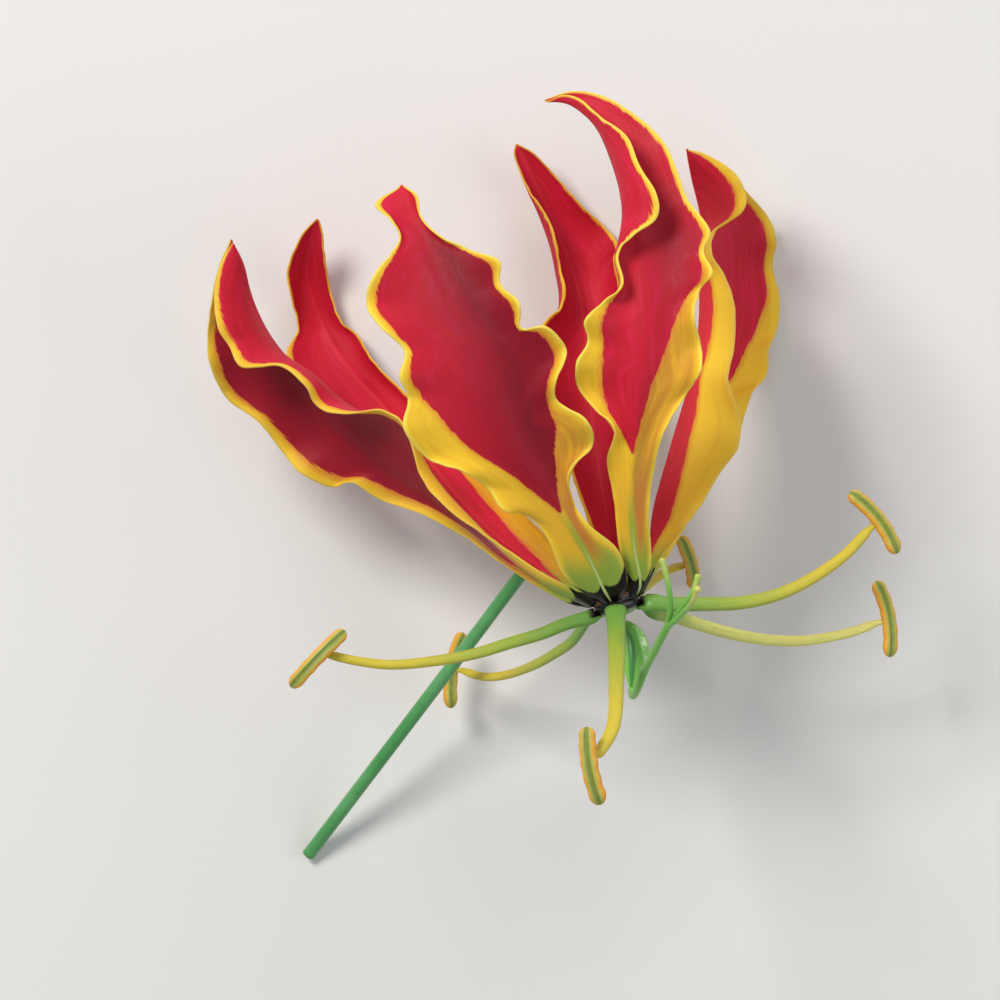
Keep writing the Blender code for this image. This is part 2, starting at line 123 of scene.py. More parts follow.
def evenProfile(values, shares):
    return np.interp(shares, np.linspace(0, 1, len(values)), values)


def smoothStep(low, high, values):
    t = np.clip((values - low) / (high - low), 0, 1)
    return t * t * (3 - 2 * t)


def window(values, rise, fall):
    return smoothStep(*rise, values) * smoothStep(*fall, values)


def bell(values, width):
    return np.exp(-(values / width) ** 2)


# Shader helpers
def newMaterial(name):
    material = bpy.data.materials.new(name)
    material.use_nodes = True
    return material, material.node_tree, material.node_tree.nodes["Principled BSDF"]


def addNode(tree, kind, **settings):
    node = tree.nodes.new(kind)
    for key, value in settings.items():
        setattr(node, key, value)
    return node


def fill(tree, socket, value):
    # links an output to the socket, or sets a number, a vector or a colour on it
    if isinstance(value, bpy.types.NodeSocket):
        tree.links.new(value, socket)
    elif socket.type == "RGBA":
        socket.default_value = (*value, 1.0)
    elif value is not None:
        socket.default_value = value


def fillAll(tree, node, values):
    for name, value in values.items():
        fill(tree, node.inputs[name], value)


def mathNode(tree, operation, first, second=None, clamp=False):
    node = addNode(tree, "ShaderNodeMath", operation=operation, use_clamp=clamp)
    for socket, value in zip(node.inputs, (first, second)):
        fill(tree, socket, value)
    return node.outputs[0]


def product(tree, first, second):
    return mathNode(tree, "MULTIPLY", first, second)


def total(tree, first, second, clamp=False):
    return mathNode(tree, "ADD", first, second, clamp)


def centred(tree, noise, size):
    # a noise value made to swing evenly about zero
    return product(tree, mathNode(tree, "SUBTRACT", noise, 0.5), size)


def ramp(tree, value, low, high, toLow=0.0, toHigh=1.0):
    node = addNode(tree, "ShaderNodeMapRange", interpolation_type="SMOOTHSTEP")
    fillAll(tree, node, {"Value": value, "From Min": low, "From Max": high,
                         "To Min": toLow, "To Max": toHigh})
    return node.outputs["Result"]


def mixColour(tree, factor, first, second):
    node = addNode(tree, "ShaderNodeMix", data_type="RGBA")
    fill(tree, node.inputs["Factor"], factor)
    fill(tree, node.inputs[6], first)
    fill(tree, node.inputs[7], second)
    return node.outputs[2]


def attributeValue(tree, name):
    return addNode(tree, "ShaderNodeAttribute", attribute_name=name).outputs["Fac"]


def attributeVector(tree, name):
    return addNode(tree, "ShaderNodeAttribute", attribute_name=name).outputs["Vector"]


def objectSpace(tree):
    return addNode(tree, "ShaderNodeTexCoord").outputs["Object"]


def split(tree, vector):
    node = addNode(tree, "ShaderNodeSeparateXYZ")
    fill(tree, node.inputs[0], vector)
    return node.outputs


def stretched(tree, vector, scale):
    node = addNode(tree, "ShaderNodeMapping")
    fillAll(tree, node, {"Vector": vector, "Scale": scale})
    return node.outputs["Vector"]


def noiseNode(tree, vector, scale, detail=3.0, roughness=0.55):
    node = addNode(tree, "ShaderNodeTexNoise")
    fillAll(tree, node, {"Vector": vector, "Scale": scale, "Detail": detail, "Roughness": roughness})
    return node.outputs["Fac"]


def cellNode(tree, vector, scale):
    node = addNode(tree, "ShaderNodeTexVoronoi")
    fillAll(tree, node, {"Vector": vector, "Scale": scale})
    return node.outputs["Distance"]


def bumpNode(tree, height, strength, distance, before=None):
    node = addNode(tree, "ShaderNodeBump")
    fillAll(tree, node, {"Height": height, "Strength": strength, "Distance": distance, "Normal": before})
    return node.outputs["Normal"]


def makeGroup(name, inputs, outputs):
    group = bpy.data.node_groups.new(name, "ShaderNodeTree")
    for socketName, kind, value in inputs:
        socket = group.interface.new_socket(socketName, in_out="INPUT", socket_type=kind)
        if value is not None:
            socket.default_value = value
    for socketName in outputs:
        group.interface.new_socket(socketName, in_out="OUTPUT", socket_type="NodeSocketFloat")
    return group, group.nodes.new("NodeGroupInput").outputs, group.nodes.new("NodeGroupOutput")


def useGroup(tree, group, **values):
    node = addNode(tree, "ShaderNodeGroup", node_tree=group)
    fillAll(tree, node, values)
    return node.outputs


# Colours, linear
colours = {
    "crimson": (0.55, 0.012, 0.030),
    "rose": (0.68, 0.014, 0.060),
    "pink": (0.78, 0.070, 0.075),
    "maroon": (0.140, 0.0060, 0.0120),
    "yellow": (0.90, 0.59, 0.030),
    "deepYellow": (0.82, 0.44, 0.022),
    "paleYellow": (0.93, 0.74, 0.13),
    "golden": (0.62, 0.25, 0.035),
    "orange": (0.70, 0.17, 0.030),
    "clawBrown": (0.56, 0.20, 0.040),
    "clawGreen": (0.29, 0.40, 0.055),
    "nectary": (0.0050, 0.0018, 0.0026),
    "nectaryRed": (0.045, 0.003, 0.005),
    "rib": (0.50, 0.60, 0.20),
}
streakStyle = {  # how often each streak repeats across and along a petal, in 1/mm, and its detail
    "Wide": ((0.32, 0.045, 1.0), 2.0),
    "Fine": ((2.4, 0.16, 1.0), 4.0),
    "Veins": ((3.6, 0.07, 1.0), 2.0),
}
featherStyle = {"Mask": (-0.16, 0.20), "Glow": (-1.5, 0.2)}  # millimetres about the red's edge


def makeStreakGroup():
    # fine streaks that run from the claw to the tip, in the petal's own millimetres
    group, source, target = makeGroup("petalStreaks", [("Vector", "NodeSocketVector", None)], streakStyle)
    for name, (scale, detail) in streakStyle.items():
        streak = noiseNode(group, stretched(group, source["Vector"], scale), 1.0, detail)
        fill(group, target.inputs[name], streak)
    return group


def makeFeatherGroup():
    # turns a distance to the red's edge into a mask whose edge is drawn out in short streaks
    plainValues = {"Distance": 0.0, "Streak": 0.5, "Reach": 1.6}
    inputs = [(name, "NodeSocketFloat", value) for name, value in plainValues.items()]
    group, source, target = makeGroup("featheredEdge", inputs, featherStyle)
    moved = total(group, source["Distance"], centred(group, source["Streak"], source["Reach"]))
    for name, span in featherStyle.items():
        fill(group, target.inputs[name], ramp(group, moved, *span))
    return group


streakGroup = makeStreakGroup()
featherGroup = makeFeatherGroup()

# Spans are (start, full) or (start, full, first value, last value), and bumps are (strength, depth in metres).
# Distances along, across and from the margin are in millimetres.
petalFinish = {
    "Inner": {"roughness": (0.48, 0.62), "brown": (0.25, 1.0)},
    "Outer": {"roughness": (0.52, 0.66), "brown": (0.05, 0.25)},
    "feather": (0.84, 0.96, 1.4, 0.15),
    "rose": (0.42, 0.70),
    "pinkTone": (0.0, -0.8),
    "cloud": 0.45,
    "darkVeins": (0.52, 0.80, 0.0, 0.14),
    "keelLine": (0.40, 0.10, 0.0, 0.20),
    "deepYellow": (0.48, 0.72, 0.0, 0.45),
    "goldenEdge": (0.4, 2.2),
    "goldenStreaks": (0.30, 0.68, 0.55, 1.0),
    "paintedLightPale": (0.0, -0.8),
    "rimHighlightAndGold": (0.10, 0.90, 0.65, 0.0),
    "glowEdge": (0.5, 2.0, 0.10, 0.60),
    "lobeEdge": (1.0, 2.6),
    "lobeKeel": (0.3, 1.2),
    "lobeAlong": (27.0, 17.0, 0.0, 0.85),
    "brownAlong": (6.5, 11.0),
    "brownBlush": (0.1, 0.8),
    "stripeKeel": (1.4, 0.2),
    "stripeAlong": (22.0, 13.0, 0.0, 0.9),
    "greenRim": (0.3, 1.6, 3.4, 0.0),
    "greenAlong": (12.0, 5.5),
    "nectaryLength": 4.6,
    "lobeDrop": 1.6,  # how far each green lobe hangs into the black
    "nectaryRagged": 0.7,
    "nectaryLine": (-0.22, 0.22),
    "nectaryRed": (0.54, 0.74),
    "nectaryGloss": -0.26,
    "nectaryCoat": 0.30,
    "ribKeel": (0.26, 0.10),
    "ribAlong": (15.0, 8.0),
    "satin": (0.3, 0.7),
    "veinBump": (0.30, 0.000096),
    "grain": (5.0, 2.0),
    "grainBump": (0.22, 0.00006),
}


def makePetalMaterial(face):
    finish = {**petalFinish, **petalFinish[face]}
    material, tree, shader = newMaterial("petal_" + face.lower())
    space = attributeVector(tree, "petalSpace")
    across, along, edge = split(tree, space)
    keel = mathNode(tree, "ABSOLUTE", across)
    streaks = useGroup(tree, streakGroup, Vector=space)
    wide, fine, veins = (streaks[name] for name in streakStyle)
    reach = ramp(tree, attributeValue(tree, "petalShare"), *finish["feather"])
    distance = attributeValue(tree, "red" + face)
    feather = useGroup(tree, featherGroup, Distance=distance, Streak=fine, Reach=reach)
    tone, blush, rimTone = (attributeValue(tree, name) for name in ("tone" + face, "blush" + face, "rimTone"))

    # red: crimson with rose lights, maroon where the shade value is high and pink where it is below zero; the
    # maroon is painted shade, partly the petal's own deeper red, and the pink is painted light
    red = mixColour(tree, ramp(tree, wide, *finish["rose"]), colours["crimson"], colours["rose"])
    red = mixColour(tree, ramp(tree, tone, *finish["pinkTone"]), red, colours["pink"])
    dark = total(tree, tone, centred(tree, wide, finish["cloud"]), clamp=True)
    red = mixColour(tree, dark, red, colours["maroon"])
    red = mixColour(tree, ramp(tree, veins, *finish["darkVeins"]), red, colours["maroon"])
    if face == "Outer":
        red = mixColour(tree, ramp(tree, keel, *finish["keelLine"]), red, colours["pink"])

    # yellow: golden where the blush value is above zero and paler by painted light where it is below zero, a
    # painted highlight at the rim, and orange next to the red
    deep = ramp(tree, wide, *finish["deepYellow"])
    yellow = mixColour(tree, deep, colours["yellow"], colours["deepYellow"])
    band = product(tree, ramp(tree, edge, *finish["goldenEdge"]), ramp(tree, wide, *finish["goldenStreaks"]))
    yellow = mixColour(tree, product(tree, band, blush), yellow, colours["golden"])
    # painted light: a negative blush value turns the yellow paler
    yellow = mixColour(tree, ramp(tree, blush, *finish["paintedLightPale"]), yellow, colours["paleYellow"])
    # painted highlight: a pale yellow line along the rim, turned towards the rim's own gold by rimTone
    rim = mixColour(tree, rimTone, colours["paleYellow"], colours["golden"])
    yellow = mixColour(tree, ramp(tree, edge, *finish["rimHighlightAndGold"]), yellow, rim)
    glow = product(tree, feather["Glow"], ramp(tree, edge, *finish["glowEdge"]))
    yellow = mixColour(tree, glow, yellow, colours["orange"])

    # claw: brown lobes, a green base and a green stripe up the valley, while the rims stay yellow longest
    brown = product(tree, ramp(tree, edge, *finish["lobeEdge"]), ramp(tree, keel, *finish["lobeKeel"]))
    for limit in (ramp(tree, along, *finish["lobeAlong"]), ramp(tree, along, *finish["brownAlong"]),
                  ramp(tree, blush, *finish["brownBlush"], *finish["brown"])):
        brown = product(tree, brown, limit)
    claw = mixColour(tree, brown, yellow, colours["clawBrown"])
    stripe = product(tree, ramp(tree, keel, *finish["stripeKeel"]), ramp(tree, along, *finish["stripeAlong"]))
    held = total(tree, along, ramp(tree, edge, *finish["greenRim"]))
    green = mathNode(tree, "MAXIMUM", ramp(tree, held, *finish["greenAlong"]), stripe)
    claw = mixColour(tree, green, claw, colours["clawGreen"])
    surface = mixColour(tree, feather["Mask"], claw, red)

    # the black nectary and the pale rib that crosses it
    line = total(tree, attributeValue(tree, "nectaryLine"), centred(tree, fine, finish["nectaryRagged"]))
    blackMask = ramp(tree, line, *finish["nectaryLine"])
    black = mixColour(tree, ramp(tree, fine, *finish["nectaryRed"]),
                      colours["nectary"], colours["nectaryRed"])
    surface = mixColour(tree, blackMask, surface, black)
    if face == "Inner":
        rib = product(tree, ramp(tree, keel, *finish["ribKeel"]), ramp(tree, along, *finish["ribAlong"]))
        surface = mixColour(tree, rib, surface, colours["rib"])

    satin = ramp(tree, fine, *finish["satin"], *finish["roughness"])
    raised = bumpNode(tree, veins, *finish["veinBump"])
    fillAll(tree, shader, {
        "Base Color": surface,
        "Roughness": total(tree, satin, product(tree, blackMask, finish["nectaryGloss"])),
        "Coat Weight": product(tree, blackMask, finish["nectaryCoat"]),
        "Coat Roughness": 0.16,
        "Specular IOR Level": 0.19,
        "Subsurface Weight": 0.12,
        "Subsurface Radius": (1.0, 0.35, 0.12),
        "Subsurface Scale": 0.0007,
        "Normal": bumpNode(tree, noiseNode(tree, space, *finish["grain"]), *finish["grainBump"], raised),
    })
    return material


# Petals
# Outlines are (x, y, depth): pixels of the front view and millimetres towards the viewer; a margin's depth
# is counted from the keel's. Left and right are as seen on the inner face, and pairs of lists are left and
# right. "red..." is how much of each half is red, as (share of the length, share of the half's width). Shade
# values are how dark the red is from left to right, mostly painted shade and partly the petal's own deeper
# red, with pink painted light below zero; each patch adds painted shade, as (share, place across, length,
# width, strength). The blush lists are how golden the yellow is, left and right, and below zero they paint
# light that makes it paler than yellow.
petalStyle = {
    "stepsAlong": 176,
    "stepsAcross": 64,
    "thickness": 0.55,
    "edgeThickness": 0.5,  # share of the thickness that is left at the margin
    "edgeReach": 2.5,  # millimetres from the margin to the full thickness
    "level": 0.9,
    "clawHalfAngle": 21.0,
    "tipHalfWidth": 0.7,
    "tipRound": 0.965,
    "tipLeft": 0.15,
    "clawBelly": 0.6,
    "clawMiddle": 0.11,
    "clawSpread": 0.11,
    "smoothing": 0.16,
    "wavePower": 2.4,
    "waveDepth": 0.7,
    "crinkle": 0.07,
    "crinkleLength": 4.6,
    "crinkleDrift": (1.7, 0.37),
    "crinkleReach": 3.2,
    "crinkleShare": ((0.06, 0.2), (1.0, 0.9)),
    "keelGroove": 0.30,
    "keelWidth": 0.9,
    "grooveShare": ((0.2, 0.36), (1.0, 0.9)),
    "ribHeight": 0.14,  # the pale rib in the claw's valley
    "ribWidth": 0.22,
    "ribShare": ((0.0, 0.03), (0.20, 0.09)),
    "liftColumns": 6,
    "toneShare": ((0.12, 0.3), (0.98, 0.80)),
    "blushBlend": 0.15,
    "unredDrop": 4.0,  # millimetres that keep the feathered edge off where a half has no red
}
plainInner = [(0.26, 0.0), (0.33, 0.35), (0.45, 0.65), (0.55, 0.85), (0.7, 0.9), (1.0, 0.88)]
plainOuter = [(0.1, 0.0), (0.22, 0.25), (0.34, 0.5), (0.5, 0.8), (0.65, 0.9), (1.0, 0.9)]
plainPetal = {
    "redInner": (plainInner, plainInner),
    "redOuter": (plainOuter, plainOuter),
    "rimTone": 0.0,
    "shadePatches": [],
}
petals = {
    "petal_front_left": {
        "angle": -10,
        "keel": [(602, 585, 7), (585, 550, 11), (552, 500, 16), (515, 455, 20), (492, 400, 22.5),
            (478, 350, 23), (450, 300, 22), (428, 250, 19.5), (410, 218, 17), (402, 187, 14.5)],
        "left": [(582, 591, -0.5), (562, 572, -1), (549, 541, 1), (530, 516, -1), (503, 510, 2),
            (487, 488, 0), (462, 471, 3), (428, 459, 0), (405, 430, 3), (409, 400, 0.5), (401, 378, 3.5),
            (405, 352, 0.5), (384, 331, 3), (368, 308, 0), (374, 279, 3), (400, 243, 1), (391, 221, 3),
            (376, 206, 1)],
        "right": [(626, 580, 1), (617, 549, 1), (588, 524, 3), (571, 498, 1), (569, 470, 4.5),
            (592, 446, 1), (586, 421, 4.5), (557, 402, 1), (556, 380, 4.5), (566, 352, 1), (546, 329, 4.5),
            (521, 330, 1.5), (519, 305, 4.5), (500, 286, 1), (499, 263, 4), (470, 252, 1), (442, 239, 3),
            (422, 221, 1), (418, 199, 2)],
        "belly": ([0, -0.6, -1.2, -1.6, -1.4, -0.8, -0.3], [0, -0.8, -1.6, -2.0, -1.6, -0.8, -0.3]),
        "redInner": (
            [(0.235, 0.0), (0.28, 0.2), (0.33, 0.3), (0.4, 0.45), (0.45, 0.53), (0.5, 0.64), (0.53, 0.8),
             (0.57, 0.89), (0.7, 0.9), (1.0, 0.86)],
            [(0.235, 0.0), (0.29, 0.28), (0.35, 0.48), (0.385, 0.68), (0.43, 0.8), (0.5, 0.86), (0.6, 0.89),
             (0.7, 0.87), (1.0, 0.86)],
        ),
        "toneInner": (0.0, 0.3, 0.8, 0.55), "toneOuter": (0.15, 0.1, 0.1, 0.15),
        "blushInner": (0.2, 0.85), "blushOuter": (0.5, 0.5),
    },
    "petal_front_right": {
        "angle": 50,
        "keel": [(640, 580, 5), (634, 545, 8.5), (630, 500, 12.5), (633, 450, 16.5), (639, 400, 19.5),
            (644, 350, 21), (642, 300, 21), (633, 250, 19), (625, 205, 15.5), (613, 162, 11.5),
            (597, 126, 8), (573, 104, 5.5), (545, 101, 4)],
        "left": [(628, 578, 0.5), (619, 545, 0), (614, 500, 1), (607, 460, 0), (614, 429, 5), (596, 411, 2),
            (577, 388, 0), (576, 364, 3.5), (587, 343, 0.5), (584, 322, 3.5), (602, 304, 0.5),
            (621, 287, 4), (617, 256, 3), (632, 238, 6), (655, 221, 8), (655, 197, 10), (638, 168, 9),
            (626, 139, 8), (600, 119, 5.5), (580, 101, 3), (562, 96, 1)],
        "right": [(650, 570, 1), (650, 548, 0), (648, 512, 1.5), (653, 468, 0), (665, 428, 2.5),
            (685, 395, 0), (699, 372, 3.5), (699, 345, 0), (692, 318, 3.5), (698, 292, 0), (711, 275, 3.5),
            (702, 254, 0), (708, 232, 2.5), (687, 202, 0), (677, 176, 1.5), (664, 145, 0), (638, 119, 1),
            (605, 98, 0), (575, 92, 0)],
        "belly": ([0, -0.6, -1.2, -1.4, -1.4, -2.2, -2.0, -0.8, -0.2],
                  [0, -0.8, -1.4, -1.8, -1.6, -1.4, -1.0, -0.5, -0.2]),
        "redInner": (
            [(0.275, 0.0), (0.295, 0.35), (0.315, 0.6), (0.39, 0.62), (0.45, 0.69), (0.515, 0.8),
             (0.56, 0.88), (0.7, 0.91), (1.0, 0.9)],
            [(0.275, 0.0), (0.335, 0.08), (0.365, 0.14), (0.4, 0.19), (0.45, 0.41), (0.5, 0.63),
             (0.545, 0.85), (0.6, 0.91), (0.75, 0.93), (1.0, 0.9)],
        ),
        "redOuter": (
            [(0.1, 0.0), (0.25, 0.3), (0.4, 0.6), (0.55, 0.86), (0.7, 0.93), (1.0, 0.93)],
            plainOuter,
        ),
        "toneInner": (0.1, 0.0, 0.12, 0.1), "toneOuter": (0.0, 0.0, 0.05, 0.1),
        "blushInner": (0.15, 0.85), "blushOuter": (0.3, 0.3),
        "shadePatches": [(0.64, 0.5, 0.12, 0.4, 0.45)],
    },
    "petal_right": {
        "angle": 105,
        "keel": [(648, 572, -4), (655, 510, -10), (675, 445, -17), (693, 385, -23.5), (705, 330, -29),
            (711, 280, -31.5), (710, 240, -30), (704, 205, -26), (696, 175, -22), (688, 147, -17)],
        "left": [(660, 558, 4), (676, 537, 7), (700, 506, 10), (722, 470, 12), (738, 448, 13.5),
            (741, 418, 11.5), (729, 380, 14), (735, 348, 11.5), (736, 306, 13.5), (726, 273, 11),
            (713, 252, 11.5), (718, 227, 9), (743, 211, 10), (748, 193, 7.5), (736, 170, 6), (708, 152, 2)],
        "right": [(661, 566, -2), (684, 530, -4), (712, 485, -6), (738, 442, -8), (749, 410, -11),
            (757, 389, -9), (771, 372, -12), (773, 347, -10), (782, 325, -12.5), (784, 292, -11),
            (777, 262, -12.5), (781, 236, -10), (772, 212, -11), (756, 194, -8), (740, 178, -7),
            (714, 158, -3)],
        "belly": ([0, -1.2, -2.2, -2.4, -2.4, -2.0, -1.2, -0.4],
                  [0, -1.0, -1.8, -2.2, -2.2, -1.8, -1.0, -0.4]),
        "redInner": (
            [(0.28, 0.0), (0.35, 0.4), (0.45, 0.7), (0.55, 0.88), (1.0, 0.9)],
            [(0.3, 0.0), (0.4, 0.35), (0.47, 0.6), (0.52, 0.7), (0.58, 0.78), (0.64, 0.88), (0.75, 0.9),
             (1.0, 0.88)],
        ),
        "redOuter": (
            [(0.05, 0.0), (0.1, 0.15), (0.165, 0.48), (0.245, 0.5), (0.33, 0.42), (0.405, 0.5),
             (0.51, 0.66), (0.605, 0.74), (0.7, 0.82), (1.0, 0.88)],
            plainOuter,
        ),
        "toneInner": (0.1, 0.0, 0.0, 0.0), "toneOuter": (-0.3, -0.35, -0.2, 0.0),
        "blushInner": (0.15, 0.15), "blushOuter": (-0.15, -0.75), "rimTone": 0.4,
    },
    "petal_back": {
        "angle": 165,
        "keel": [(618, 585, -8), (612, 540, -16), (603, 490, -24), (594, 430, -32), (588, 370, -38),
            (583, 310, -41.5), (570, 262, -42.5), (553, 220, -41.5), (536, 182, -38.5), (517, 140, -34)],
        "left": [(630, 575, 1), (629, 530, 1), (631, 480, 2.5), (632, 430, 1), (632, 380, 3), (630, 330, 1),
            (624, 290, 3), (617, 254, 0.5), (620, 240, 2.5), (606, 222, 0.5), (580, 198, 2),
            (557, 172, 0.5), (536, 150, 0.5)],
        "right": [(605, 575, 1.5), (592, 530, 3), (575, 480, 5), (560, 430, 6), (548, 385, 7.5),
            (540, 345, 6), (546, 319, 8.5), (562, 305, 6), (566, 285, 8.5), (561, 265, 6.5), (556, 235, 8),
            (545, 208, 5.5), (531, 189, 4.5), (522, 170, 2.5), (514, 150, 1)],
        "belly": ([0, 0.8, 1.4, 1.6, 1.4, 0.8, 0.2], [0, 0.8, 1.4, 1.8, 1.8, 1.0, 0.2]),
        "redInner": (
            [(0.26, 0.0), (0.33, 0.35), (0.45, 0.65), (0.55, 0.85), (0.7, 0.95), (1.0, 0.96)],
            [(0.26, 0.0), (0.33, 0.35), (0.45, 0.65), (0.55, 0.85), (0.7, 0.95), (1.0, 0.96)],
        ),
        "redOuter": (
            [(0.04, 0.0), (0.1, 0.4), (0.2, 0.72), (0.4, 0.86), (0.6, 0.95), (1.0, 0.96)],
            [(0.04, 0.0), (0.1, 0.5), (0.2, 0.78), (0.4, 0.88), (0.6, 0.96), (1.0, 0.97)],
        ),
        "toneInner": (0.2, 0.3, 0.3, 0.2), "toneOuter": (0.1, 0.0, 0.25, 0.3),
        "blushInner": (0.6, 0.6), "blushOuter": (0.7, 0.7), "rimTone": 0.7,
    },
    "petal_back_left": {
        "angle": -135,
        "keel": [(545, 572, -9), (495, 535, -15), (455, 495, -21), (418, 447, -28), (380, 405, -34.5),
            (346, 368, -40), (322, 328, -43.3), (307, 288, -42.5), (303, 260, -39.5), (308, 237, -36),
            (315, 216, -32)],
        "left": [(584, 580, 0.5), (550, 540, 1), (505, 495, 2.5), (470, 455, 1), (435, 418, 3.5),
            (405, 393, 1), (372, 360, 4), (356, 334, 1.5), (337, 317, 4), (327, 284, 1.5), (322, 253, 2.5),
            (320, 230, 1)],
        "right": [(562, 595, 0.5), (525, 572, 2), (480, 530, 2.5), (430, 492, 4), (380, 450, 2),
            (335, 405, 4.5), (302, 378, 2), (284, 352, 4.5), (295, 325, 2), (287, 290, 4), (285, 265, 2),
            (297, 236, 1.5)],
        "belly": ([0, 0.8, 1.4, 1.6, 1.4, 0.8, 0.2], [0, 0.8, 1.4, 1.6, 1.4, 0.8, 0.2]),
        "redOuter": (
            [(0.07, 0.0), (0.145, 0.25), (0.275, 0.45), (0.365, 0.45), (0.44, 0.55), (0.52, 0.86),
             (0.62, 0.95), (1.0, 0.95)],
            [(0.07, 0.0), (0.2, 0.3), (0.36, 0.4), (0.46, 0.55), (0.54, 0.85), (0.7, 0.93), (1.0, 0.94)],
        ),
        "toneInner": (0.2, 0.3, 0.3, 0.2), "toneOuter": (0.12, 0.05, 0.05, 0.08),
        "blushInner": (0.6, 0.6), "blushOuter": (0.5, 0.5), "rimTone": 0.7,
    },
    "petal_left": {
        "angle": -72,
        "keel": [(560, 592, 0), (530, 572, -2), (488, 543, -5), (430, 494, -8.5), (370, 442, -11),
            (320, 396, -12), (287, 362, -11.5), (267, 336, -10), (254, 311, -8), (246, 288, -6),
            (241, 264, -4), (231, 240, -2)],
        "left": [(572, 604, -0.5), (545, 590, -1.5), (500, 562, -3), (462, 535, -6), (418, 513, -4.5),
            (380, 500, -7.5), (350, 482, -5), (330, 487, -8), (299, 473, -5.5), (281, 452, -8),
            (256, 421, -5), (225, 398, -6.5), (209, 366, -3), (206, 340, -4), (210, 305, -1.5),
            (217, 272, -1)],
        "right": [(570, 588, 3), (540, 572, 5), (500, 545, 7), (450, 510, 9), (422, 478, 8),
            (405, 427, 11.5), (380, 410, 9.5), (346, 414, 12), (318, 407, 9.5), (304, 384, 12),
            (280, 366, 9.5), (242, 367, 11), (229, 346, 8), (218, 328, 8), (214, 298, 5), (219, 267, 2.5)],
        "belly": ([0, -0.8, -1.4, -1.8, -1.8, -1.2, -0.4], [0, -0.8, -1.6, -2.0, -2.2, -1.6, -0.4]),
        "redInner": (
            [(0.1, 0.0), (0.18, 0.3), (0.28, 0.5), (0.355, 0.62), (0.45, 0.78), (0.55, 0.84), (0.7, 0.89),
             (1.0, 0.85)],
            [(0.1, 0.0), (0.18, 0.5), (0.27, 0.75), (0.4, 0.8), (0.5, 0.84), (0.6, 0.91), (1.0, 0.91)],
        ),
        "redOuter": (
            plainOuter,
            [(0.08, 0.0), (0.2, 0.4), (0.4, 0.8), (0.5, 0.9), (1.0, 0.92)],
        ),
        "toneInner": (0.48, 0.66, 0.7, 0.55), "toneOuter": (0.1, 0.0, 0.0, 0.0),
        "blushInner": (0.8, 0.5), "blushOuter": (0.6, 0.4), "rimTone": 0.35,
    },
}


def smoothed(curve):
    # the curve with its waves evened out and its ends kept
    reach = max(1, int(len(curve) * petalStyle["smoothing"] / 2))
    result = curve.copy()
    for i in range(1, len(curve) - 1):
        near = min(reach, i, len(curve) - 1 - i)
        result[i] = curve[i - near:i + near + 1].mean(axis=0)
    return result


def petalCurves(spec):
    root = ringPoint(spec["angle"], petalStyle["level"])
    keel = smoothPath([root, *placeAll(spec["keel"])], petalStyle["stepsAlong"] + 1)
    along = directions(keel)
    lastAcross = np.array(place(spec["left"][-1]) - place(spec["right"][-1]))
    lastAcross[2] = 0.0
    lastAcross = unit(lastAcross - along[-1] * lastAcross.dot(along[-1]))
    margins = []
    for side, turn in (("left", -1), ("right", 1)):
        root = ringPoint(spec["angle"] + turn * petalStyle["clawHalfAngle"], petalStyle["level"])
        tip = keel[-1] - turn * lastAcross * petalStyle["tipHalfWidth"]
        points = [(root.x, root.y, root.z - keel[0][2]), *placeAll(spec[side]),
                  (tip[0], tip[1], tip[2] - keel[-1][2])]
        margin = smoothPath(points, len(keel))
        margin[:, 2] += keel[:, 2]
        margins.append(margin)
    return keel, along, margins


def petalPoints(spec, reaches):
    # rows of points across the petal: a bowed sheet from the keel to the margins, with the margins' waves
    keel, along, margins = petalCurves(spec)
    share = np.linspace(0, 1, len(keel))
    claw = bell(share - petalStyle["clawMiddle"], petalStyle["clawSpread"])
    points = np.zeros((len(keel), len(reaches), 3))
    for half, margin in enumerate(margins):
        calm = smoothed(margin)
        edge = calm + (margin - calm) * (1.0, 1.0, petalStyle["waveDepth"])
        inner = unit(np.cross(calm - keel, along) if half else np.cross(along, calm - keel))
        belly = evenProfile(spec["belly"][half], share)
        belly = belly + claw * (petalStyle["clawBelly"] - belly)
        control = (keel + calm) / 2 + 2 * belly[:, None] * inner
        for column in np.flatnonzero(reaches >= 0 if half else reaches < 0):
            reach = abs(reaches[column])
            bowed = (1 - reach) ** 2 * keel + 2 * reach * (1 - reach) * control + reach**2 * calm
            points[:, column] = bowed + (edge - calm) * reach ** petalStyle["wavePower"]

    # the last of the tip narrows to a round point
    pastRound = np.clip(share - petalStyle["tipRound"], 0, 1) / (1 - petalStyle["tipRound"])
    taper = np.sqrt(np.clip(1 - pastRound**2, petalStyle["tipLeft"] ** 2, 1))
    points = keel[:, None, :] + (points - keel[:, None, :]) * taper[:, None, None]
    return points, share[:, None], pathLength(keel)


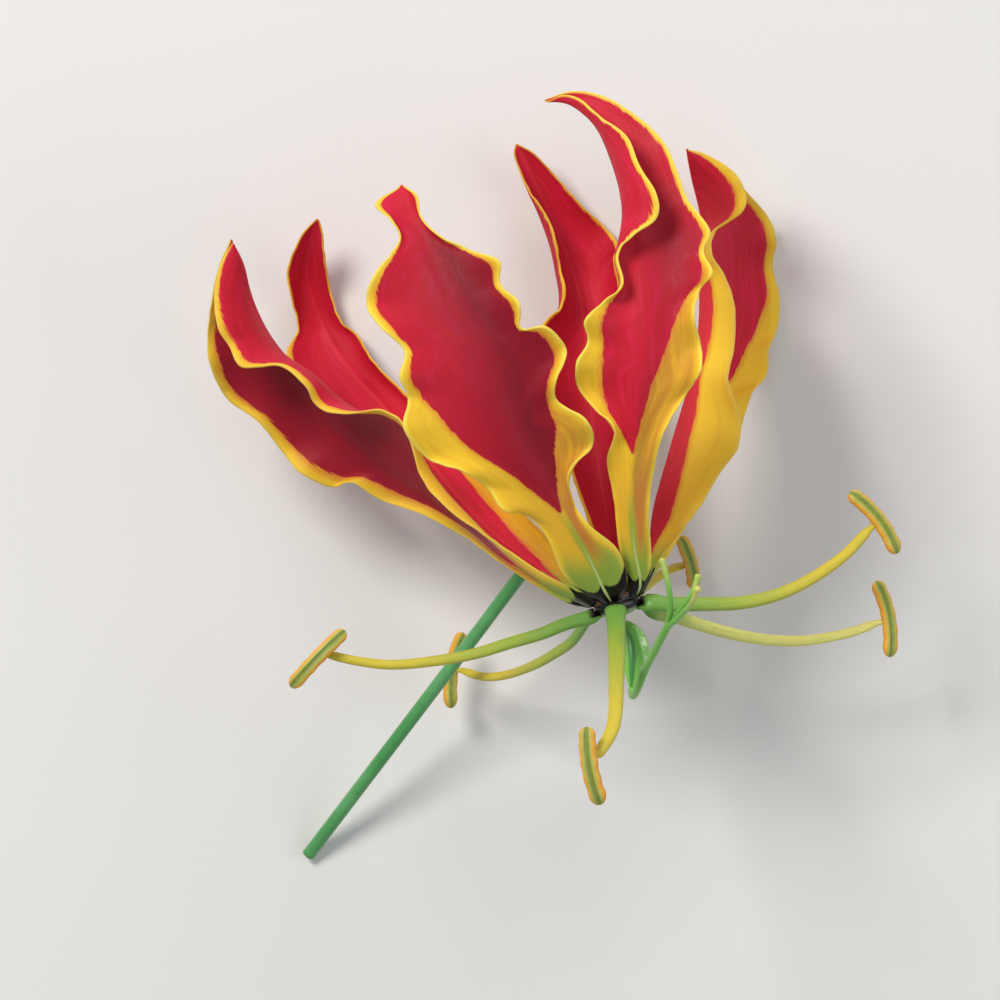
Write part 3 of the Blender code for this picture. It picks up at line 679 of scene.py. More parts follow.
def petalMarks(spec, points, share, keelLength, reaches):
    # what the materials read at each point: distances in millimetres, and the petal's values of painted shade
    # and light
    steps = np.linalg.norm(np.diff(points, axis=1), axis=2)
    arc = np.concatenate([np.zeros((len(share), 1)), np.cumsum(steps, axis=1)], axis=1)
    middle = petalStyle["stepsAcross"] // 2
    across = arc - arc[:, middle:middle + 1]
    edge = np.minimum(arc, arc[:, -1:] - arc)
    along = np.broadcast_to(share * keelLength, across.shape)
    marks = {
        "petalSpace": np.stack([across, along, edge], axis=2),
        "petalShare": np.broadcast_to(share, across.shape),
        "rimTone": np.full(across.shape, spec["rimTone"]),
    }
    halfWidth = np.where(reaches < 0, -across[:, :1], across[:, -1:])
    for face in ("Inner", "Outer"):
        left, right = (profile(pairs, share) for pairs in spec["red" + face])
        limit = np.where(reaches < 0, left, right)
        marks["red" + face] = ((limit - np.abs(reaches)) * halfWidth
                               - np.where(limit <= 0, petalStyle["unredDrop"], 0.0))
        tones = evenProfile(spec["tone" + face], (reaches + 1) / 2)
        marks["tone" + face] = tones * window(share, *petalStyle["toneShare"])
        blend = petalStyle["blushBlend"]
        blush = np.interp(reaches, (-blend, blend), spec["blush" + face])
        marks["blush" + face] = np.broadcast_to(blush, across.shape)
    # each patch darkens the red with painted shade
    for patchShare, patchReach, length, width, strength in spec["shadePatches"]:
        patch = bell(share - patchShare, length) * bell(reaches - patchReach, width)
        marks["toneInner"] = marks["toneInner"] + strength * patch
    lobes = petalFinish["lobeDrop"] * (1 - (2 * np.abs(reaches) - 1) ** 2)
    marks["nectaryLine"] = petalFinish["nectaryLength"] - lobes - along
    return marks


def raiseDetail(spec, points, share, marks):
    # the margin's fine crinkle stands along the sheet's normal, the keel's groove and rib along the row's
    across, along, edge = np.moveaxis(marks["petalSpace"], 2, 0)
    normal = unit(np.cross(np.gradient(points, axis=1), np.gradient(points, axis=0)))
    phase = along / petalStyle["crinkleLength"] * fullTurn
    drift, driftRate = petalStyle["crinkleDrift"]
    crinkle = np.sin(phase + drift * np.sin(phase * driftRate + spec["angle"])) * petalStyle["crinkle"]
    crinkle = crinkle * np.clip(1 - edge / petalStyle["crinkleReach"], 0, 1) ** 2
    crinkle = crinkle * window(share, *petalStyle["crinkleShare"])
    groove = -petalStyle["keelGroove"] * bell(across, petalStyle["keelWidth"])
    groove = groove * window(share, *petalStyle["grooveShare"])
    rib = petalStyle["ribHeight"] * bell(across, petalStyle["ribWidth"])
    rib = rib * window(share, *petalStyle["ribShare"])
    middle, near = petalStyle["stepsAcross"] // 2, petalStyle["liftColumns"]
    lift = unit(normal[:, middle - near:middle + near + 1].mean(axis=1))[:, None, :]
    return points + normal * crinkle[:, :, None] + lift * (groove + rib)[:, :, None]


def addFloat(mesh, name, values):
    data = mesh.attributes.new(name, "FLOAT", "POINT")
    data.data.foreach_set("value", np.ascontiguousarray(values, dtype=np.float32).ravel())


def addVector(mesh, name, values):
    data = mesh.attributes.new(name, "FLOAT_VECTOR", "POINT")
    data.data.foreach_set("vector", np.ascontiguousarray(values, dtype=np.float32).ravel())


def toMesh(form, name):
    mesh = bpy.data.meshes.new(name)
    form.to_mesh(mesh)
    form.free()
    return mesh


def newObject(name, data):
    item = bpy.data.objects.new(name, data)
    bpy.context.scene.collection.objects.link(item)
    return item


def newPiece(name, mesh, materials):
    piece = newObject(name, mesh)
    for material in materials:
        mesh.materials.append(material)
    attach(piece, "root")
    return piece


def makePetal(name, spec, materials):
    reaches = np.linspace(-1, 1, petalStyle["stepsAcross"] + 1)
    points, share, keelLength = petalPoints(spec, reaches)
    marks = petalMarks(spec, points, share, keelLength, reaches)
    points = raiseDetail(spec, points, share, marks)
    sheet = bmesh.new()
    bmesh.ops.create_grid(sheet, x_segments=petalStyle["stepsAcross"], y_segments=petalStyle["stepsAlong"],
                          size=1.0)
    columns, rows = [], []
    for vertex in sheet.verts:
        columns.append(round((vertex.co.x + 1) / 2 * petalStyle["stepsAcross"]))
        rows.append(round((vertex.co.y + 1) / 2 * petalStyle["stepsAlong"]))
        vertex.co = toFrame(points[rows[-1], columns[-1]])
    mesh = toMesh(sheet, name)
    mesh.shade_smooth()
    for mark, values in marks.items():
        (addVector if values.ndim == 3 else addFloat)(mesh, mark, values[rows, columns])
    piece = newPiece(name + "_blade", mesh, materials)
    group = piece.vertex_groups.new(name="thickness")
    for index, distance in enumerate(marks["petalSpace"][rows, columns][:, 2]):
        group.add([index], float(np.clip(distance / petalStyle["edgeReach"], 0, 1)), "REPLACE")
    blade = piece.modifiers.new("blade", "SOLIDIFY")
    blade.thickness = petalStyle["thickness"] * mm
    blade.offset = 0.0
    blade.vertex_group = "thickness"
    blade.thickness_vertex_group = petalStyle["edgeThickness"]
    blade.material_offset = 1
    blade.use_even_offset = False
    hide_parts(name)


petalMaterials = [makePetalMaterial("Inner"), makePetalMaterial("Outer")]
for petalName, petalSpec in petals.items():
    makePetal(petalName, {**plainPetal, **petalSpec}, petalMaterials)
print("petals made")


# Stamens
stamenStyle = {
    "filamentLevel": -0.9,
    "rootStep": 1.5,
    "rootDepth": 1.2,  # millimetres that a root reaches into the receptacle
    "baseRadius": 1.15,
    "tipRadius": 0.7,
    "rootFlare": 0.20,
    "rootTaper": (0.35, 1.9),  # share of the radius at the buried end, and the millimetres it grows over
    "flareLength": 3.4,
    "widening": 1.12,
    "flatness": (0.78, 0.14),
    "tipNarrowing": (0.45, (0.93, 1.0)),
    "lip": (0.10, 0.25),
    "tipReach": 0.5,
    "wideReference": (-0.14, 0.56, 1.0),
    "rings": 96,
    "sides": 28,
    "joinSteps": 4,
}
antherStyle = {
    "length": 13.0,
    "radius": 1.2,
    "endLength": 1.6,
    "wide": 1.06,
    "deep": 0.86,
    "bow": 1.1,
    "swells": (0.04, 31.0),
    "furrow": (0.30, 0.24),
    "backFurrow": 0.7,
    "slit": (0.16, 0.16),
    "backward": -0.3,  # an anther that lies farther behind its filament than this shows its back to the rear
    "tilt": 0.35,
    "rings": 72,
    "sides": 48,
}
stamens = {
    "front": {
        "angle": -5,
        "path": [(616, 632, 11), (616, 658, 19), (615, 684, 26), (614, 709, 32), (610, 728, 36),
                 (597, 750, 40.2)],
        "width": 1.3, "anther": [(582, 724, 42), (595.5, 800, 42)],
    },
    "left": {
        "angle": -65,
        "path": [(565, 624, 3), (540, 634, 4), (509, 643, 5.5), (480, 652, 7), (445, 659, 9),
                 (395, 664, 11.5), (357, 660, 13), (326, 653, 14)],
        "width": 0.95, "anther": [(345, 629, 16.2), (291, 685, 16.2)],
    },
    "lower_left": {
        "angle": -122,
        "path": [(573, 641, -9), (554, 655, -14), (535, 666, -19), (509, 676, -26), (484, 679, -31),
                 (462, 673, -35)],
        "width": 0.9, "anther": [(450, 643, -36.5), (441, 699, -36.5)],
    },
    "right": {
        "angle": 75,
        "path": [(668, 604, 1.5), (700, 604, 1), (740, 603, -1), (777, 595, -3), (810, 580, -5),
                 (845, 556, -7), (870, 530, -9)],
        "width": 1.1, "anther": [(856, 492, -9), (900, 549, -9)],
    },
    "lower_right": {
        "angle": 125,
        "path": [(655, 613, -4.5), (678, 618, -6), (706, 627, -8), (740, 636, -10), (775, 641, -12),
                 (810, 641, -14), (850, 634, -16), (879, 624, -18)],
        "width": 1.0, "anther": [(884, 583, -18), (897, 655, -18)], "paleness": 0.75,
    },
    "back": {
        "angle": 180,
        "path": [(622, 607, -12), (632, 599, -19), (645, 589, -26), (660, 578, -32), (674, 570, -36),
                 (687, 566, -39)],
        "width": 0.9, "anther": [(691, 545, -32), (703, 590, -40.5)],
    },
}


def sweep(name, path, wideDirection, offsetsAt, sides):
    # a closed form along a path; offsetsAt gives (wide, deep) offsets for every ring and angle
    rings = len(path)
    along = directions(path)
    wide = unit(wideDirection - along * np.sum(wideDirection * along, axis=1, keepdims=True))
    deep = np.cross(wide, along)
    angles = np.linspace(0, fullTurn, sides, endpoint=False)
    form = bmesh.new()
    bmesh.ops.create_cone(form, cap_ends=True, segments=sides, radius1=1.0, radius2=1.0, depth=2.0)
    upright = [e for e in form.edges if abs(e.verts[0].co.z - e.verts[1].co.z) > 1.0]
    bmesh.ops.subdivide_edges(form, edges=upright, cuts=rings - 2, use_grid_fill=False)
    shares, turns = [], []
    for vertex in form.verts:
        ring = round((vertex.co.z + 1) / 2 * (rings - 1))
        side = round(math.atan2(vertex.co.y, vertex.co.x) % fullTurn / fullTurn * sides) % sides
        shares.append(ring / (rings - 1))
        turns.append(angles[side])
        wideOffset, deepOffset = offsetsAt(shares[-1], turns[-1])
        vertex.co = toFrame(path[ring] + wide[ring] * wideOffset + deep[ring] * deepOffset)
    bmesh.ops.recalc_face_normals(form, faces=form.faces)
    mesh = toMesh(form, name)
    mesh.shade_smooth()
    shares = np.array(shares)
    addVector(mesh, "sweepSpace", np.stack([np.array(turns), shares * pathLength(path), shares], axis=1))
    return mesh


def roundedEnds(share, length, radius):
    # 0 at both ends and 1 between, as on a tube with round ends
    near = min(share, 1 - share) * length
    return math.sqrt(max(0.0, 1 - (1 - min(near / radius, 1.0)) ** 2))


filamentFinish = {
    "green": (0.15, 0.33, 0.055),
    "yellowGreen": (0.35, 0.42, 0.050),
    "yellow": (0.62, 0.49, 0.042),
    "pale": (0.80, 0.77, 0.24),
    "uneven": 0.18,
    "yellowGreenAlong": (0.08, 0.42),
    "yellowAlong": (0.36, 0.78),
    "paleAlong": (0.06, 0.3),
    "streakSize": (1.6, 0.30, 1.0),
    "greenStreaks": (0.48, 0.75, 0.0, 0.28),
    "satin": (0.3, 0.7, 0.34, 0.50),
    "streakBump": (0.35, 0.00007),
    "grainBump": (0.2, 0.00003),
}
# Where the black ends: along the flower's axis, about its middle seen from the front, and in all directions.
nectaryStyle = {
    "level": (-1.16, -1.00),
    "reach": (4.95, 4.55),
    "depth": (6.2, 5.6),
    "gloss": -0.18,
}
antherFinish = {
    "back": (0.19, 0.24, 0.035),
    "edge": (0.46, 0.44, 0.075),
    "pollen": (0.80, 0.35, 0.035),
    "pollenLight": (0.90, 0.52, 0.080),
    "grainScale": 5200.0,
    "clumpScale": 900.0,
    "ragged": 0.5,
    "pollenSide": (0.52, 0.74),
    "grainLight": (0.15, 0.6),
    "backSide": (0.12, 0.55),
    "clumps": (0.45, 0.70, 0.0, 0.4),
    "roughness": (0.0, 1.0, 0.45, 0.85),
    "clumpBump": (0.4, 0.00012),
    "dustBump": (0.7, 0.0001),
}


def flowerPoint(vertex):
    return Vector(vertex.co) / mm - flower["base"]


def nectaryShare(vertices):
    # 1 where the black nectary hangs over the receptacle and the roots
    result = []
    for vertex in vertices:
        point = flowerPoint(vertex)
        level = point.dot(flower["axis"])
        reach = math.hypot(point.dot(flower["right"]), level)
        result.append(smoothStep(*nectaryStyle["level"], level) * smoothStep(*nectaryStyle["reach"], reach)
                      * smoothStep(*nectaryStyle["depth"], point.length))
    return np.array(result)


def blackened(tree, colour, satin):
    # the colour and the roughness with the glossy black nectary over them
    black = attributeValue(tree, "nectary")
    return {"Base Color": mixColour(tree, black, colour, colours["nectary"]),
            "Roughness": total(tree, satin, product(tree, black, nectaryStyle["gloss"]))}


def makeFilamentMaterial():
    finish = filamentFinish
    material, tree, shader = newMaterial("filament_green_yellow")
    space = attributeVector(tree, "sweepSpace")
    coordinates = objectSpace(tree)
    mottle = noiseNode(tree, coordinates, 420.0)
    share = total(tree, split(tree, space)[2], centred(tree, mottle, finish["uneven"]))
    colour = mixColour(tree, ramp(tree, share, *finish["yellowGreenAlong"]),
                       finish["green"], finish["yellowGreen"])
    colour = mixColour(tree, ramp(tree, share, *finish["yellowAlong"]), colour, finish["yellow"])
    ripe = product(tree, attributeValue(tree, "paleness"), ramp(tree, share, *finish["paleAlong"]))
    colour = mixColour(tree, ripe, colour, finish["pale"])
    streak = noiseNode(tree, stretched(tree, space, finish["streakSize"]), 1.0)
    colour = mixColour(tree, ramp(tree, streak, *finish["greenStreaks"]), colour, finish["green"])
    raised = bumpNode(tree, streak, *finish["streakBump"])
    fillAll(tree, shader, {
        **blackened(tree, colour, ramp(tree, mottle, *finish["satin"])),
        "Specular IOR Level": 0.35,
        "Subsurface Weight": 0.15,
        "Subsurface Radius": (0.8, 1.0, 0.3),
        "Subsurface Scale": 0.0008,
        "Normal": bumpNode(tree, noiseNode(tree, coordinates, 2600.0, 2.0), *finish["grainBump"], raised),
    })
    return material


def makeAntherMaterial():
    finish = antherFinish
    material, tree, shader = newMaterial("anther_olive_pollen")
    coordinates = objectSpace(tree)
    grains = cellNode(tree, coordinates, finish["grainScale"])
    clump = noiseNode(tree, coordinates, finish["clumpScale"])
    turn = split(tree, attributeVector(tree, "sweepSpace"))[0]
    sideways = mathNode(tree, "ABSOLUTE", mathNode(tree, "COSINE", turn))
    ragged = total(tree, sideways, centred(tree, clump, finish["ragged"]))
    pollenMask = ramp(tree, ragged, *finish["pollenSide"])
    pollen = mixColour(tree, ramp(tree, grains, *finish["grainLight"]),
                       finish["pollenLight"], finish["pollen"])
    back = mixColour(tree, ramp(tree, sideways, *finish["backSide"]), finish["back"], finish["edge"])
    back = mixColour(tree, ramp(tree, clump, *finish["clumps"]), back, filamentFinish["yellowGreen"])
    dust = product(tree, mathNode(tree, "SUBTRACT", 1.0, grains), pollenMask)
    coarse = bumpNode(tree, clump, *finish["clumpBump"])
    fillAll(tree, shader, {
        "Base Color": mixColour(tree, pollenMask, back, pollen),
        "Roughness": ramp(tree, pollenMask, *finish["roughness"]),
        "Normal": bumpNode(tree, dust, *finish["dustBump"], coarse),
    })
    return material


def makeStamen(name, spec, filamentMaterial, antherMaterial):
    root = ringPoint(spec["angle"], stamenStyle["filamentLevel"])
    outwards = ringDirection(spec["angle"])
    path = smoothPath([root, root + outwards * stamenStyle["rootStep"], *placeAll(spec["path"])],
                      stamenStyle["rings"])
    tipRadius = stamenStyle["tipRadius"] * spec["width"]
    baseRadius = stamenStyle["baseRadius"] * spec["width"]
    antherGirth = antherStyle["radius"] * spec["width"] ** 0.5

    # the anther lies across the filament's tip, as far along its own line as measured
    tip = Vector(path[-1])
    ends = placeAll(spec["anther"])
    line = (ends[1] - ends[0]).normalized()
    offset = (ends[0] + ends[1]) / 2 - tip
    slide = offset.dot(line)
    away = (offset - line * slide).normalized()
    middle = tip + line * slide + away * (tipRadius + flower["jointGap"] + antherGirth)

    buried = root - outwards * stamenStyle["rootDepth"]
    joined = tip + away * (tipRadius + stamenStyle["tipReach"] * antherGirth)
    path = np.vstack([np.array(buried), path, np.array(joined)])
    path = smoothPath(path, stamenStyle["rings"], stamenStyle["joinSteps"])
    length = pathLength(path)
    wide = unit(np.cross(directions(path), np.array(stamenStyle["wideReference"])))
    startShare, taperLength = stamenStyle["rootTaper"]
    narrowing, narrowShare = stamenStyle["tipNarrowing"]
    lipDepth, lipWidth = stamenStyle["lip"]
    flatness, flatnessGain = stamenStyle["flatness"]

    def filamentOffsets(share, angle):
        along = share * length
        radius = baseRadius + (tipRadius - baseRadius) * share
        radius *= 1.0 - narrowing * smoothStep(*narrowShare, share)
        radius *= min(1.0, startShare + (1 - startShare) * along / taperLength)
        flare = 1 + stamenStyle["rootFlare"] * bell(along, stamenStyle["flareLength"])
        lip = 1 - lipDepth * bell(math.sin(angle) - 1, lipWidth)
        return (stamenStyle["widening"] * radius * flare * math.cos(angle),
                radius * (flatness + flatnessGain * share) * math.sin(angle) * lip)

    mesh = sweep("filament_" + name, path, wide, filamentOffsets, stamenStyle["sides"])
    addFloat(mesh, "nectary", nectaryShare(mesh.vertices))
    addFloat(mesh, "paleness", np.full(len(mesh.vertices), spec.get("paleness", 0.0)))
    filament = newPiece(f"filament_{name}_fine", mesh, [filamentMaterial])
    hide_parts("filament_" + name)

    shares = np.linspace(-1, 1, antherStyle["rings"])[:, None]
    half = np.array(line) * antherStyle["length"] / 2
    bow = np.array(middle) + half * shares - np.array(away) * antherStyle["bow"] * shares**2
    # the olive back faces the camera's side of the anther, with a pollen line along each flank
    frontward = 1.0 if away.z > antherStyle["backward"] else -1.0
    facing = flower["front"] * frontward + away * antherStyle["tilt"]
    lateral = np.broadcast_to(np.array(line.cross(facing).normalized()), bow.shape)
    swellHeight, swellRate = antherStyle["swells"]
    furrowDepth, furrowWidth = antherStyle["furrow"]
    slitDepth, slitWidth = antherStyle["slit"]

    def antherOffsets(share, angle):
        sideways, outward = math.cos(angle), math.sin(angle)
        girth = antherGirth * roundedEnds(share, antherStyle["length"], antherStyle["endLength"])
        girth *= 1 + swellHeight * math.sin(share * swellRate) * abs(sideways)
        furrow = furrowDepth * bell(sideways, furrowWidth)
        furrow *= 1.0 if outward > 0 else antherStyle["backFurrow"]
        slit = slitDepth * bell(outward, slitWidth)
        return (girth * (antherStyle["wide"] - slit) * sideways,
                girth * (antherStyle["deep"] - furrow) * outward)

    mesh = sweep("anther_" + name, bow, lateral, antherOffsets, antherStyle["sides"])
    anther = newPiece(f"anther_{name}_fine", mesh, [antherMaterial])
    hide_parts("anther_" + name)


filamentMaterial = makeFilamentMaterial()
antherMaterial = makeAntherMaterial()
for stamenName, stamenSpec in stamens.items():
    makeStamen(stamenName, stamenSpec, filamentMaterial, antherMaterial)
print("stamens made")


# Pistil
pistil = {
    "ovaryPath": [(624, 620.5, 0.0), (634, 636, 0.5), (638, 655, 1.0), (636, 676, 1.5), (632, 691, 2.0)],
    "ovaryRadius": 2.3,
    "ovaryLobe": 0.14,
    "ovaryCrease": (0.05, 0.12),
    "ovarySwell": 0.6,
    "ovaryRings": 64,
    "ovarySides": 72,
    "stylePath": [(632, 686, 1.9), (632, 694, 2.5), (634, 694.5, 5.0), (638, 686, 8.0), (645, 668, 11),
                  (655, 648, 15.5), (669, 620, 21)],
    "styleRadius": 0.65,
    "styleRings": 60,
    "styleSides": 24,
    "forkRing": -6,
    "stigmaPaths": [
        [(669, 608, 22.5), (667, 585, 24), (660, 557, 24)],
        [(679, 608, 23), (690, 593, 24.5), (697, 573, 24.5)],
        [(680, 613, 25), (690, 601, 28.5), (696, 586, 31.5)],
    ],
    "stigmaRoot": 0.8,  # share of the style's radius where a branch begins
    "stigmaRadius": 0.45,
    "stigmaFlare": 0.35,
    "stigmaRings": 48,
    "stigmaSides": 20,
    "flarePlace": (0.97, 0.05),
    "endLength": 0.35,
    "ripeFrom": 0.8,  # share of the style's reach, from its base, where the ripening starts
}
pistilFinish = {
    "green": (0.20, 0.52, 0.085),
    # light is a painted highlight on the ovary's lobe crests, furrow a painted shade in its furrows
    "light": (0.66, 0.84, 0.48),
    "furrow": (0.055, 0.25, 0.045),
    "style": (0.17, 0.44, 0.070),
    "stigma": (0.60, 0.58, 0.13),
    "furrowLobes": (-0.9, -0.2),
    "crestLobes": (0.55, 1.0),
    "crestMottle": (0.4, 0.62),
    "ovarySatin": (0.3, 0.7, 0.28, 0.42),
    "ovaryBump": (0.12, 0.00008),
    "uneven": 0.3,
    "ripening": (0.45, 1.05),
    "styleSatin": (0.3, 0.7, 0.26, 0.42),
    "styleBump": (0.3, 0.00004),
}


def makeOvaryMaterial():
    finish = pistilFinish
    material, tree, shader = newMaterial("ovary_waxy_green")
    mottle = noiseNode(tree, objectSpace(tree), 600.0)
    turn = split(tree, attributeVector(tree, "sweepSpace"))[0]
    # painted shade darkens the three furrows and a painted highlight lies along each lobe's crest
    lobes = mathNode(tree, "COSINE", product(tree, turn, 3.0))
    base = mixColour(tree, ramp(tree, lobes, *finish["furrowLobes"]), finish["furrow"], finish["green"])
    crestHighlight = product(tree, ramp(tree, lobes, *finish["crestLobes"]),
                    ramp(tree, mottle, *finish["crestMottle"]))
    fillAll(tree, shader, {
        "Base Color": mixColour(tree, crestHighlight, base, finish["light"]),
        "Roughness": ramp(tree, mottle, *finish["ovarySatin"]),
        "Coat Weight": 0.15,
        "Coat Roughness": 0.25,
        "Normal": bumpNode(tree, mottle, *finish["ovaryBump"]),
    })
    return material


def makeStyleMaterial():
    finish = pistilFinish
    material, tree, shader = newMaterial("style_green_yellow")
    coordinates = objectSpace(tree)
    mottle = noiseNode(tree, coordinates, 700.0)
    ripe = total(tree, attributeValue(tree, "tipward"), centred(tree, mottle, finish["uneven"]))
    colour = mixColour(tree, ramp(tree, ripe, *finish["ripening"]), finish["style"], finish["stigma"])
    fillAll(tree, shader, {
        "Base Color": colour,
        "Roughness": ramp(tree, mottle, *finish["styleSatin"]),
        "Normal": bumpNode(tree, noiseNode(tree, coordinates, 2400.0, 2.0), *finish["styleBump"]),
    })
    return material


def makeOvary(material):
    path = smoothPath(placeAll(pistil["ovaryPath"]), pistil["ovaryRings"])
    wide = unit(np.cross(directions(path), np.array(flower["front"])))
    creaseDepth, creaseWidth = pistil["ovaryCrease"]

    def ovaryOffsets(share, angle):
        swell = max(math.sin(math.pi * share), 0.0) ** pistil["ovarySwell"]
        crease = creaseDepth * bell(math.cos(1.5 * angle), creaseWidth)
        lobe = pistil["ovaryLobe"] * math.cos(3 * angle) - crease
        radius = pistil["ovaryRadius"] * swell * (1 + lobe)
        return radius * math.cos(angle), -radius * math.sin(angle)

    mesh = sweep("ovary", path, wide, ovaryOffsets, pistil["ovarySides"])
    ovary = newPiece("ovary_fine", mesh, [material])
    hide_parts("ovary")


def makeTube(name, path, startRadius, endRadius, sides, flare=0.0):
    wide = unit(np.cross(directions(path), np.array(flower["tubeReference"])))
    length = pathLength(path)
    flareShare, flareWidth = pistil["flarePlace"]

    def tubeOffsets(share, angle):
        radius = startRadius + (endRadius - startRadius) * share
        radius *= 1 + flare * bell(share - flareShare, flareWidth)
        radius *= roundedEnds(share, length, pistil["endLength"])
        return radius * math.cos(angle), radius * math.sin(angle)

    return sweep(name, path, wide, tubeOffsets, sides)


def uniteMeshes(name, meshes):
    # the first mesh with the others fused to it by Boolean unions
    holders = [newObject(f"{name}_{number}", mesh) for number, mesh in enumerate(meshes)]
    for other in holders[1:]:
        union = holders[0].modifiers.new("join", "BOOLEAN")
        union.operation = "UNION"
        union.solver = "EXACT"
        union.object = other
    graph = bpy.context.evaluated_depsgraph_get()
    result = bpy.data.meshes.new_from_object(holders[0].evaluated_get(graph))
    for holder in holders:
        bpy.data.objects.remove(holder, do_unlink=True)
    result.name = name
    result.shade_smooth()
    return result


def makeStyle(material):
    radius = pistil["styleRadius"]
    stem = smoothPath(placeAll(pistil["stylePath"]), pistil["styleRings"])
    meshes = [makeTube("style", stem, radius, radius, pistil["styleSides"])]
    for number, points in enumerate(pistil["stigmaPaths"], 1):
        branch = smoothPath([stem[pistil["forkRing"]], *placeAll(points)], pistil["stigmaRings"])
        meshes.append(makeTube(f"stigma_{number}", branch, radius * pistil["stigmaRoot"],
                               pistil["stigmaRadius"], pistil["stigmaSides"], pistil["stigmaFlare"]))
    mesh = uniteMeshes("style", meshes)
    base, fork = toFrame(stem[0]), toFrame(stem[-1])
    rise = fork - base
    reach = (toFrame(place(pistil["stigmaPaths"][0][-1])) - fork).length
    tipward = []
    for vertex in mesh.vertices:
        past = vertex.co - fork
        ripe = (vertex.co - base).length > rise.length * pistil["ripeFrom"]
        tipward.append(max(0.0, (past.dot(rise.normalized()) + past.length) / reach) / 2 if ripe else 0.0)
    addFloat(mesh, "tipward", np.array(tipward))
    style = newPiece("style_fine", mesh, [material])
    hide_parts("style")


makeOvary(makeOvaryMaterial())
makeStyle(makeStyleMaterial())
print("pistil made")


# Stalk
stalk = {
    "path": [(612, 596, 0), (608, 580, -0.8), (601, 560, -3), (588, 545, -7.5), (568, 541, -12.5),
             (545, 552, -16), (524, 572, -18), (480, 630, -22.7), (433, 692, -27.8), (380, 762, -33.5),
             (305, 861, -42.7)],
    "radius": 1.12,
    "rings": 220,
    "sides": 36,
    "ribs": 6,
    "ribDepth": 0.035,
    "startLevel": 0.6,
    "bulbSegments": (72, 36),
    "bulbLobes": (6, 0.05),
    "bulbReach": 1.02,  # how far the receptacle's colour reaches, in its radii
    "bulbClearance": 1.2,  # and how far it stays off the stalk's middle, in the stalk's radii
    "cutReach": 2.0,
    "cutTurn": 0.8,
}
stalkFinish = {
    "green": (0.060, 0.30, 0.075),
    "light": (0.20, 0.50, 0.22),
    "deep": (0.030, 0.18, 0.045),
    "cut": (0.52, 0.62, 0.30),
    "lightMottle": (0.35, 0.75, 0.0, 0.6),
    "deepStreaks": (0.5, 0.8, 0.0, 0.35),
    "satin": (0.3, 0.7, 0.32, 0.46),
    "streakBump": (0.3, 0.00006),
    "poreColour": (0.1, 0.5),
    "poreRoughness": (0.1, 0.6, 0.35, 0.6),
    "poreBump": (0.5, 0.0001),
}


def makeStalkMaterial():
    finish = stalkFinish
    material, tree, shader = newMaterial("stalk_green")
    coordinates = objectSpace(tree)
    mottle = noiseNode(tree, coordinates, 60.0)
    streak = noiseNode(tree, coordinates, 1400.0, 2.0)
    base = mixColour(tree, ramp(tree, mottle, *finish["lightMottle"]), finish["green"], finish["light"])
    base = mixColour(tree, ramp(tree, streak, *finish["deepStreaks"]), base, finish["deep"])
    base = mixColour(tree, attributeValue(tree, "receptacle"), base, filamentFinish["green"])
    fillAll(tree, shader, {
        **blackened(tree, base, ramp(tree, mottle, *finish["satin"])),
        "Coat Weight": 0.15,
        "Coat Roughness": 0.25,
        "Normal": bumpNode(tree, streak, *finish["streakBump"]),
    })
    return material


def makeCutMaterial():
    finish = stalkFinish
    material, tree, shader = newMaterial("stalk_cut_end")
    pores = cellNode(tree, objectSpace(tree), 4200.0)
    colour = mixColour(tree, ramp(tree, pores, *finish["poreColour"]), finish["light"], finish["cut"])
    fillAll(tree, shader, {
        "Base Color": colour,
        "Roughness": ramp(tree, pores, *finish["poreRoughness"]),
        "Normal": bumpNode(tree, pores, *finish["poreBump"]),
    })
    return material


def makeReceptacle():
    form = bmesh.new()
    around, upwards = stalk["bulbSegments"]
    bmesh.ops.create_uvsphere(form, u_segments=around, v_segments=upwards, radius=1.0)
    turn = flower["axis"].to_track_quat("Z", "Y").to_matrix()
    lobes, lobeDepth = stalk["bulbLobes"]
    for vertex in form.verts:
        angle = math.atan2(vertex.co.y, vertex.co.x)
        swell = 1 - lobeDepth * (1 + math.cos(lobes * angle)) / 2 * (1 - abs(vertex.co.z))
        radius = flower["receptacleRadius"] * swell
        height = vertex.co.z * flower["receptacleHalfHeight"]
        flat = Vector((vertex.co.x * radius, vertex.co.y * radius, height))
        vertex.co = toFrame(turn @ flat)
    return toMesh(form, "receptacle")


def isOnBulb(vertex):
    point = flowerPoint(vertex)
    return float(point.length < flower["receptacleRadius"] * stalk["bulbReach"]
                 and point.cross(flower["axis"]).length > stalk["radius"] * stalk["bulbClearance"])


def makeStalk(material, cutMaterial):
    path = smoothPath([flower["axis"] * stalk["startLevel"], *placeAll(stalk["path"])], stalk["rings"])
    wide = unit(np.cross(directions(path), np.array(flower["tubeReference"])))

    def stalkOffsets(_, angle):
        radius = stalk["radius"] * (1 - stalk["ribDepth"] * (1 + math.cos(stalk["ribs"] * angle)) / 2)
        return radius * math.cos(angle), radius * math.sin(angle)

    tube = sweep("stalk", path, wide, stalkOffsets, stalk["sides"])
    mesh = uniteMeshes("stalk", [tube, makeReceptacle()])
    mesh.materials.clear()
    onBulb = np.array([isOnBulb(vertex) for vertex in mesh.vertices])
    addFloat(mesh, "receptacle", onBulb)
    addFloat(mesh, "nectary", nectaryShare(mesh.vertices) * onBulb)
    piece = newPiece("stalk_fine", mesh, [material, cutMaterial])
    cutEnd, direction = toFrame(path[-1]), Vector(directions(path)[-1])
    for face in mesh.polygons:
        near = (face.center - cutEnd).length < stalk["cutReach"] * mm
        if near and face.normal.dot(direction) > stalk["cutTurn"]:
            face.material_index = 1
            face.use_smooth = False
    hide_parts("stalk")


makeStalk(makeStalkMaterial(), makeCutMaterial())
print("stalk made")


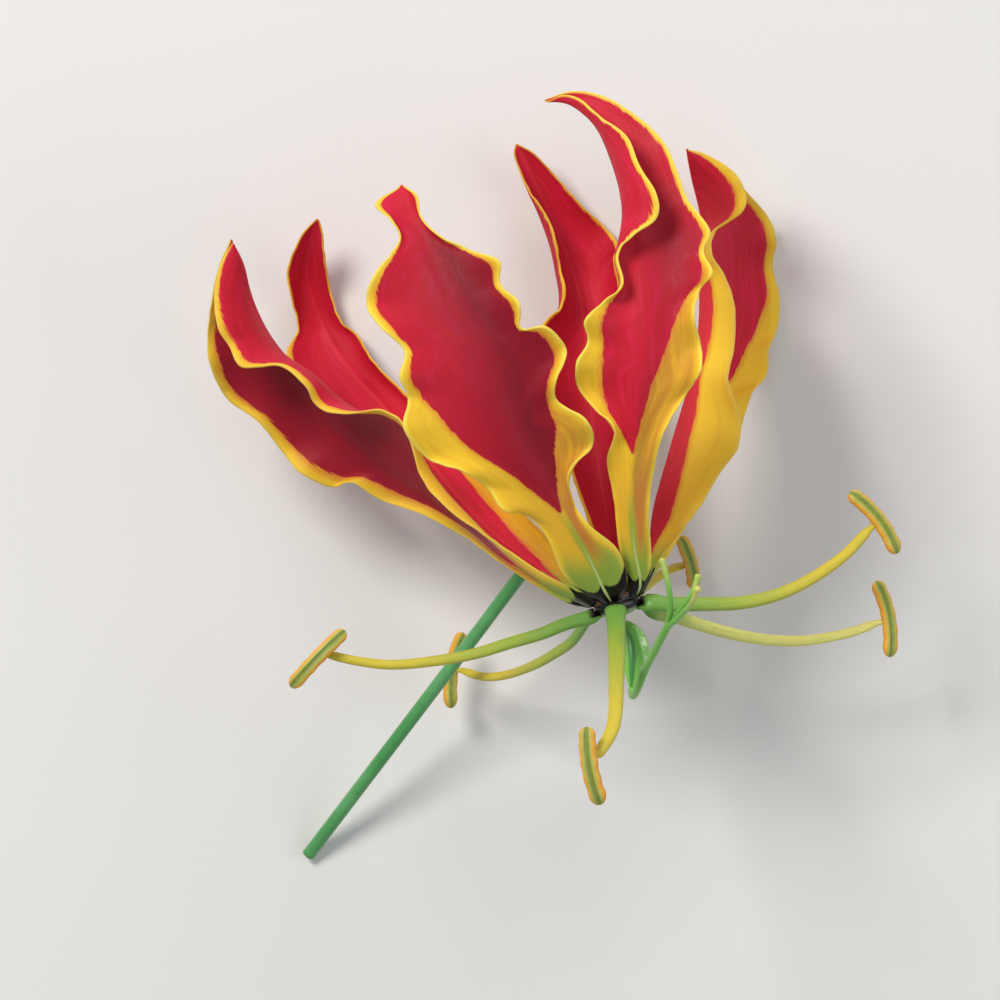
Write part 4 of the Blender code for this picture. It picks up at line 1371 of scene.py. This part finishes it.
# Floor, lights and camera
studio = {
    "floorSize": 40.0,
    "floorColour": (0.78, 0.77, 0.75),
    "floorShade": 0.97,
    "world": (0.80, 0.84, 0.90),
    "worldStrength": 0.40,
    "lights": [
        {"name": "key", "place": (-0.55, 0.55, 0.95), "size": 0.45, "power": 11.0,
         "colour": (1.0, 0.97, 0.92)},
        {"name": "fill", "place": (0.85, -0.10, 0.70), "size": 0.8, "power": 2.6,
         "colour": (0.92, 0.96, 1.0)},
        {"name": "rim", "place": (0.25, 1.00, 0.45), "size": 0.5, "power": 2.6,
         "colour": (1.0, 0.98, 0.95)},
    ],
    "cameraHeight": 2.5,
    "sensor": 36.0,
    "clip": (0.1, 100.0),
}


def makeFloor():
    form = bmesh.new()
    bmesh.ops.create_grid(form, x_segments=1, y_segments=1, size=studio["floorSize"] / 2)
    mesh = toMesh(form, "floor")
    material, tree, shader = newMaterial("floor_matt")
    shade = noiseNode(tree, objectSpace(tree), 3.0, 2.0)
    darker = tuple(c * studio["floorShade"] for c in studio["floorColour"])
    fillAll(tree, shader, {
        "Base Color": mixColour(tree, shade, studio["floorColour"], darker),
        "Roughness": 0.9,
        "Specular IOR Level": 0.05,
    })
    mesh.materials.append(material)
    floor = newObject("floor", mesh)


def makeLights(target):
    for spec in studio["lights"]:
        light = bpy.data.lights.new(spec["name"], "AREA")
        light.shape = "DISK"
        light.size = spec["size"]
        light.energy = spec["power"]
        light.color = spec["colour"]
        holder = newObject(spec["name"], light)
        holder.location = target + Vector(spec["place"])
        holder.rotation_mode = "QUATERNION"
        holder.rotation_quaternion = (target - holder.location).to_track_quat("-Z", "Y")
    world = bpy.data.worlds.new("studio")
    world.use_nodes = True
    background = world.node_tree.nodes["Background"]
    fillAll(world.node_tree, background, {"Color": studio["world"], "Strength": studio["worldStrength"]})
    bpy.context.scene.world = world


def makeCamera():
    # straight above, so that a millimetre at the receptacle's height is pixelsPerMm pixels
    camera = bpy.data.cameras.new("camera")
    pictureMm = viewScale["pictureWidth"] / viewScale["pixelsPerMm"]
    camera.sensor_width = studio["sensor"]
    camera.lens = studio["sensor"] * studio["cameraHeight"] / (pictureMm * mm)
    camera.clip_start, camera.clip_end = studio["clip"]
    holder = newObject("camera", camera)
    middle = viewScale["pictureWidth"] / 2
    holder.location = toFrame(place((middle, middle, 0.0))) + Vector((0.0, 0.0, studio["cameraHeight"]))
    bpy.context.scene.camera = holder


low, high = frameBox
makeFloor()
makeLights((low + high) / 2)
makeCamera()
bpy.context.scene.view_settings.view_transform = "Standard"
print("studio made")
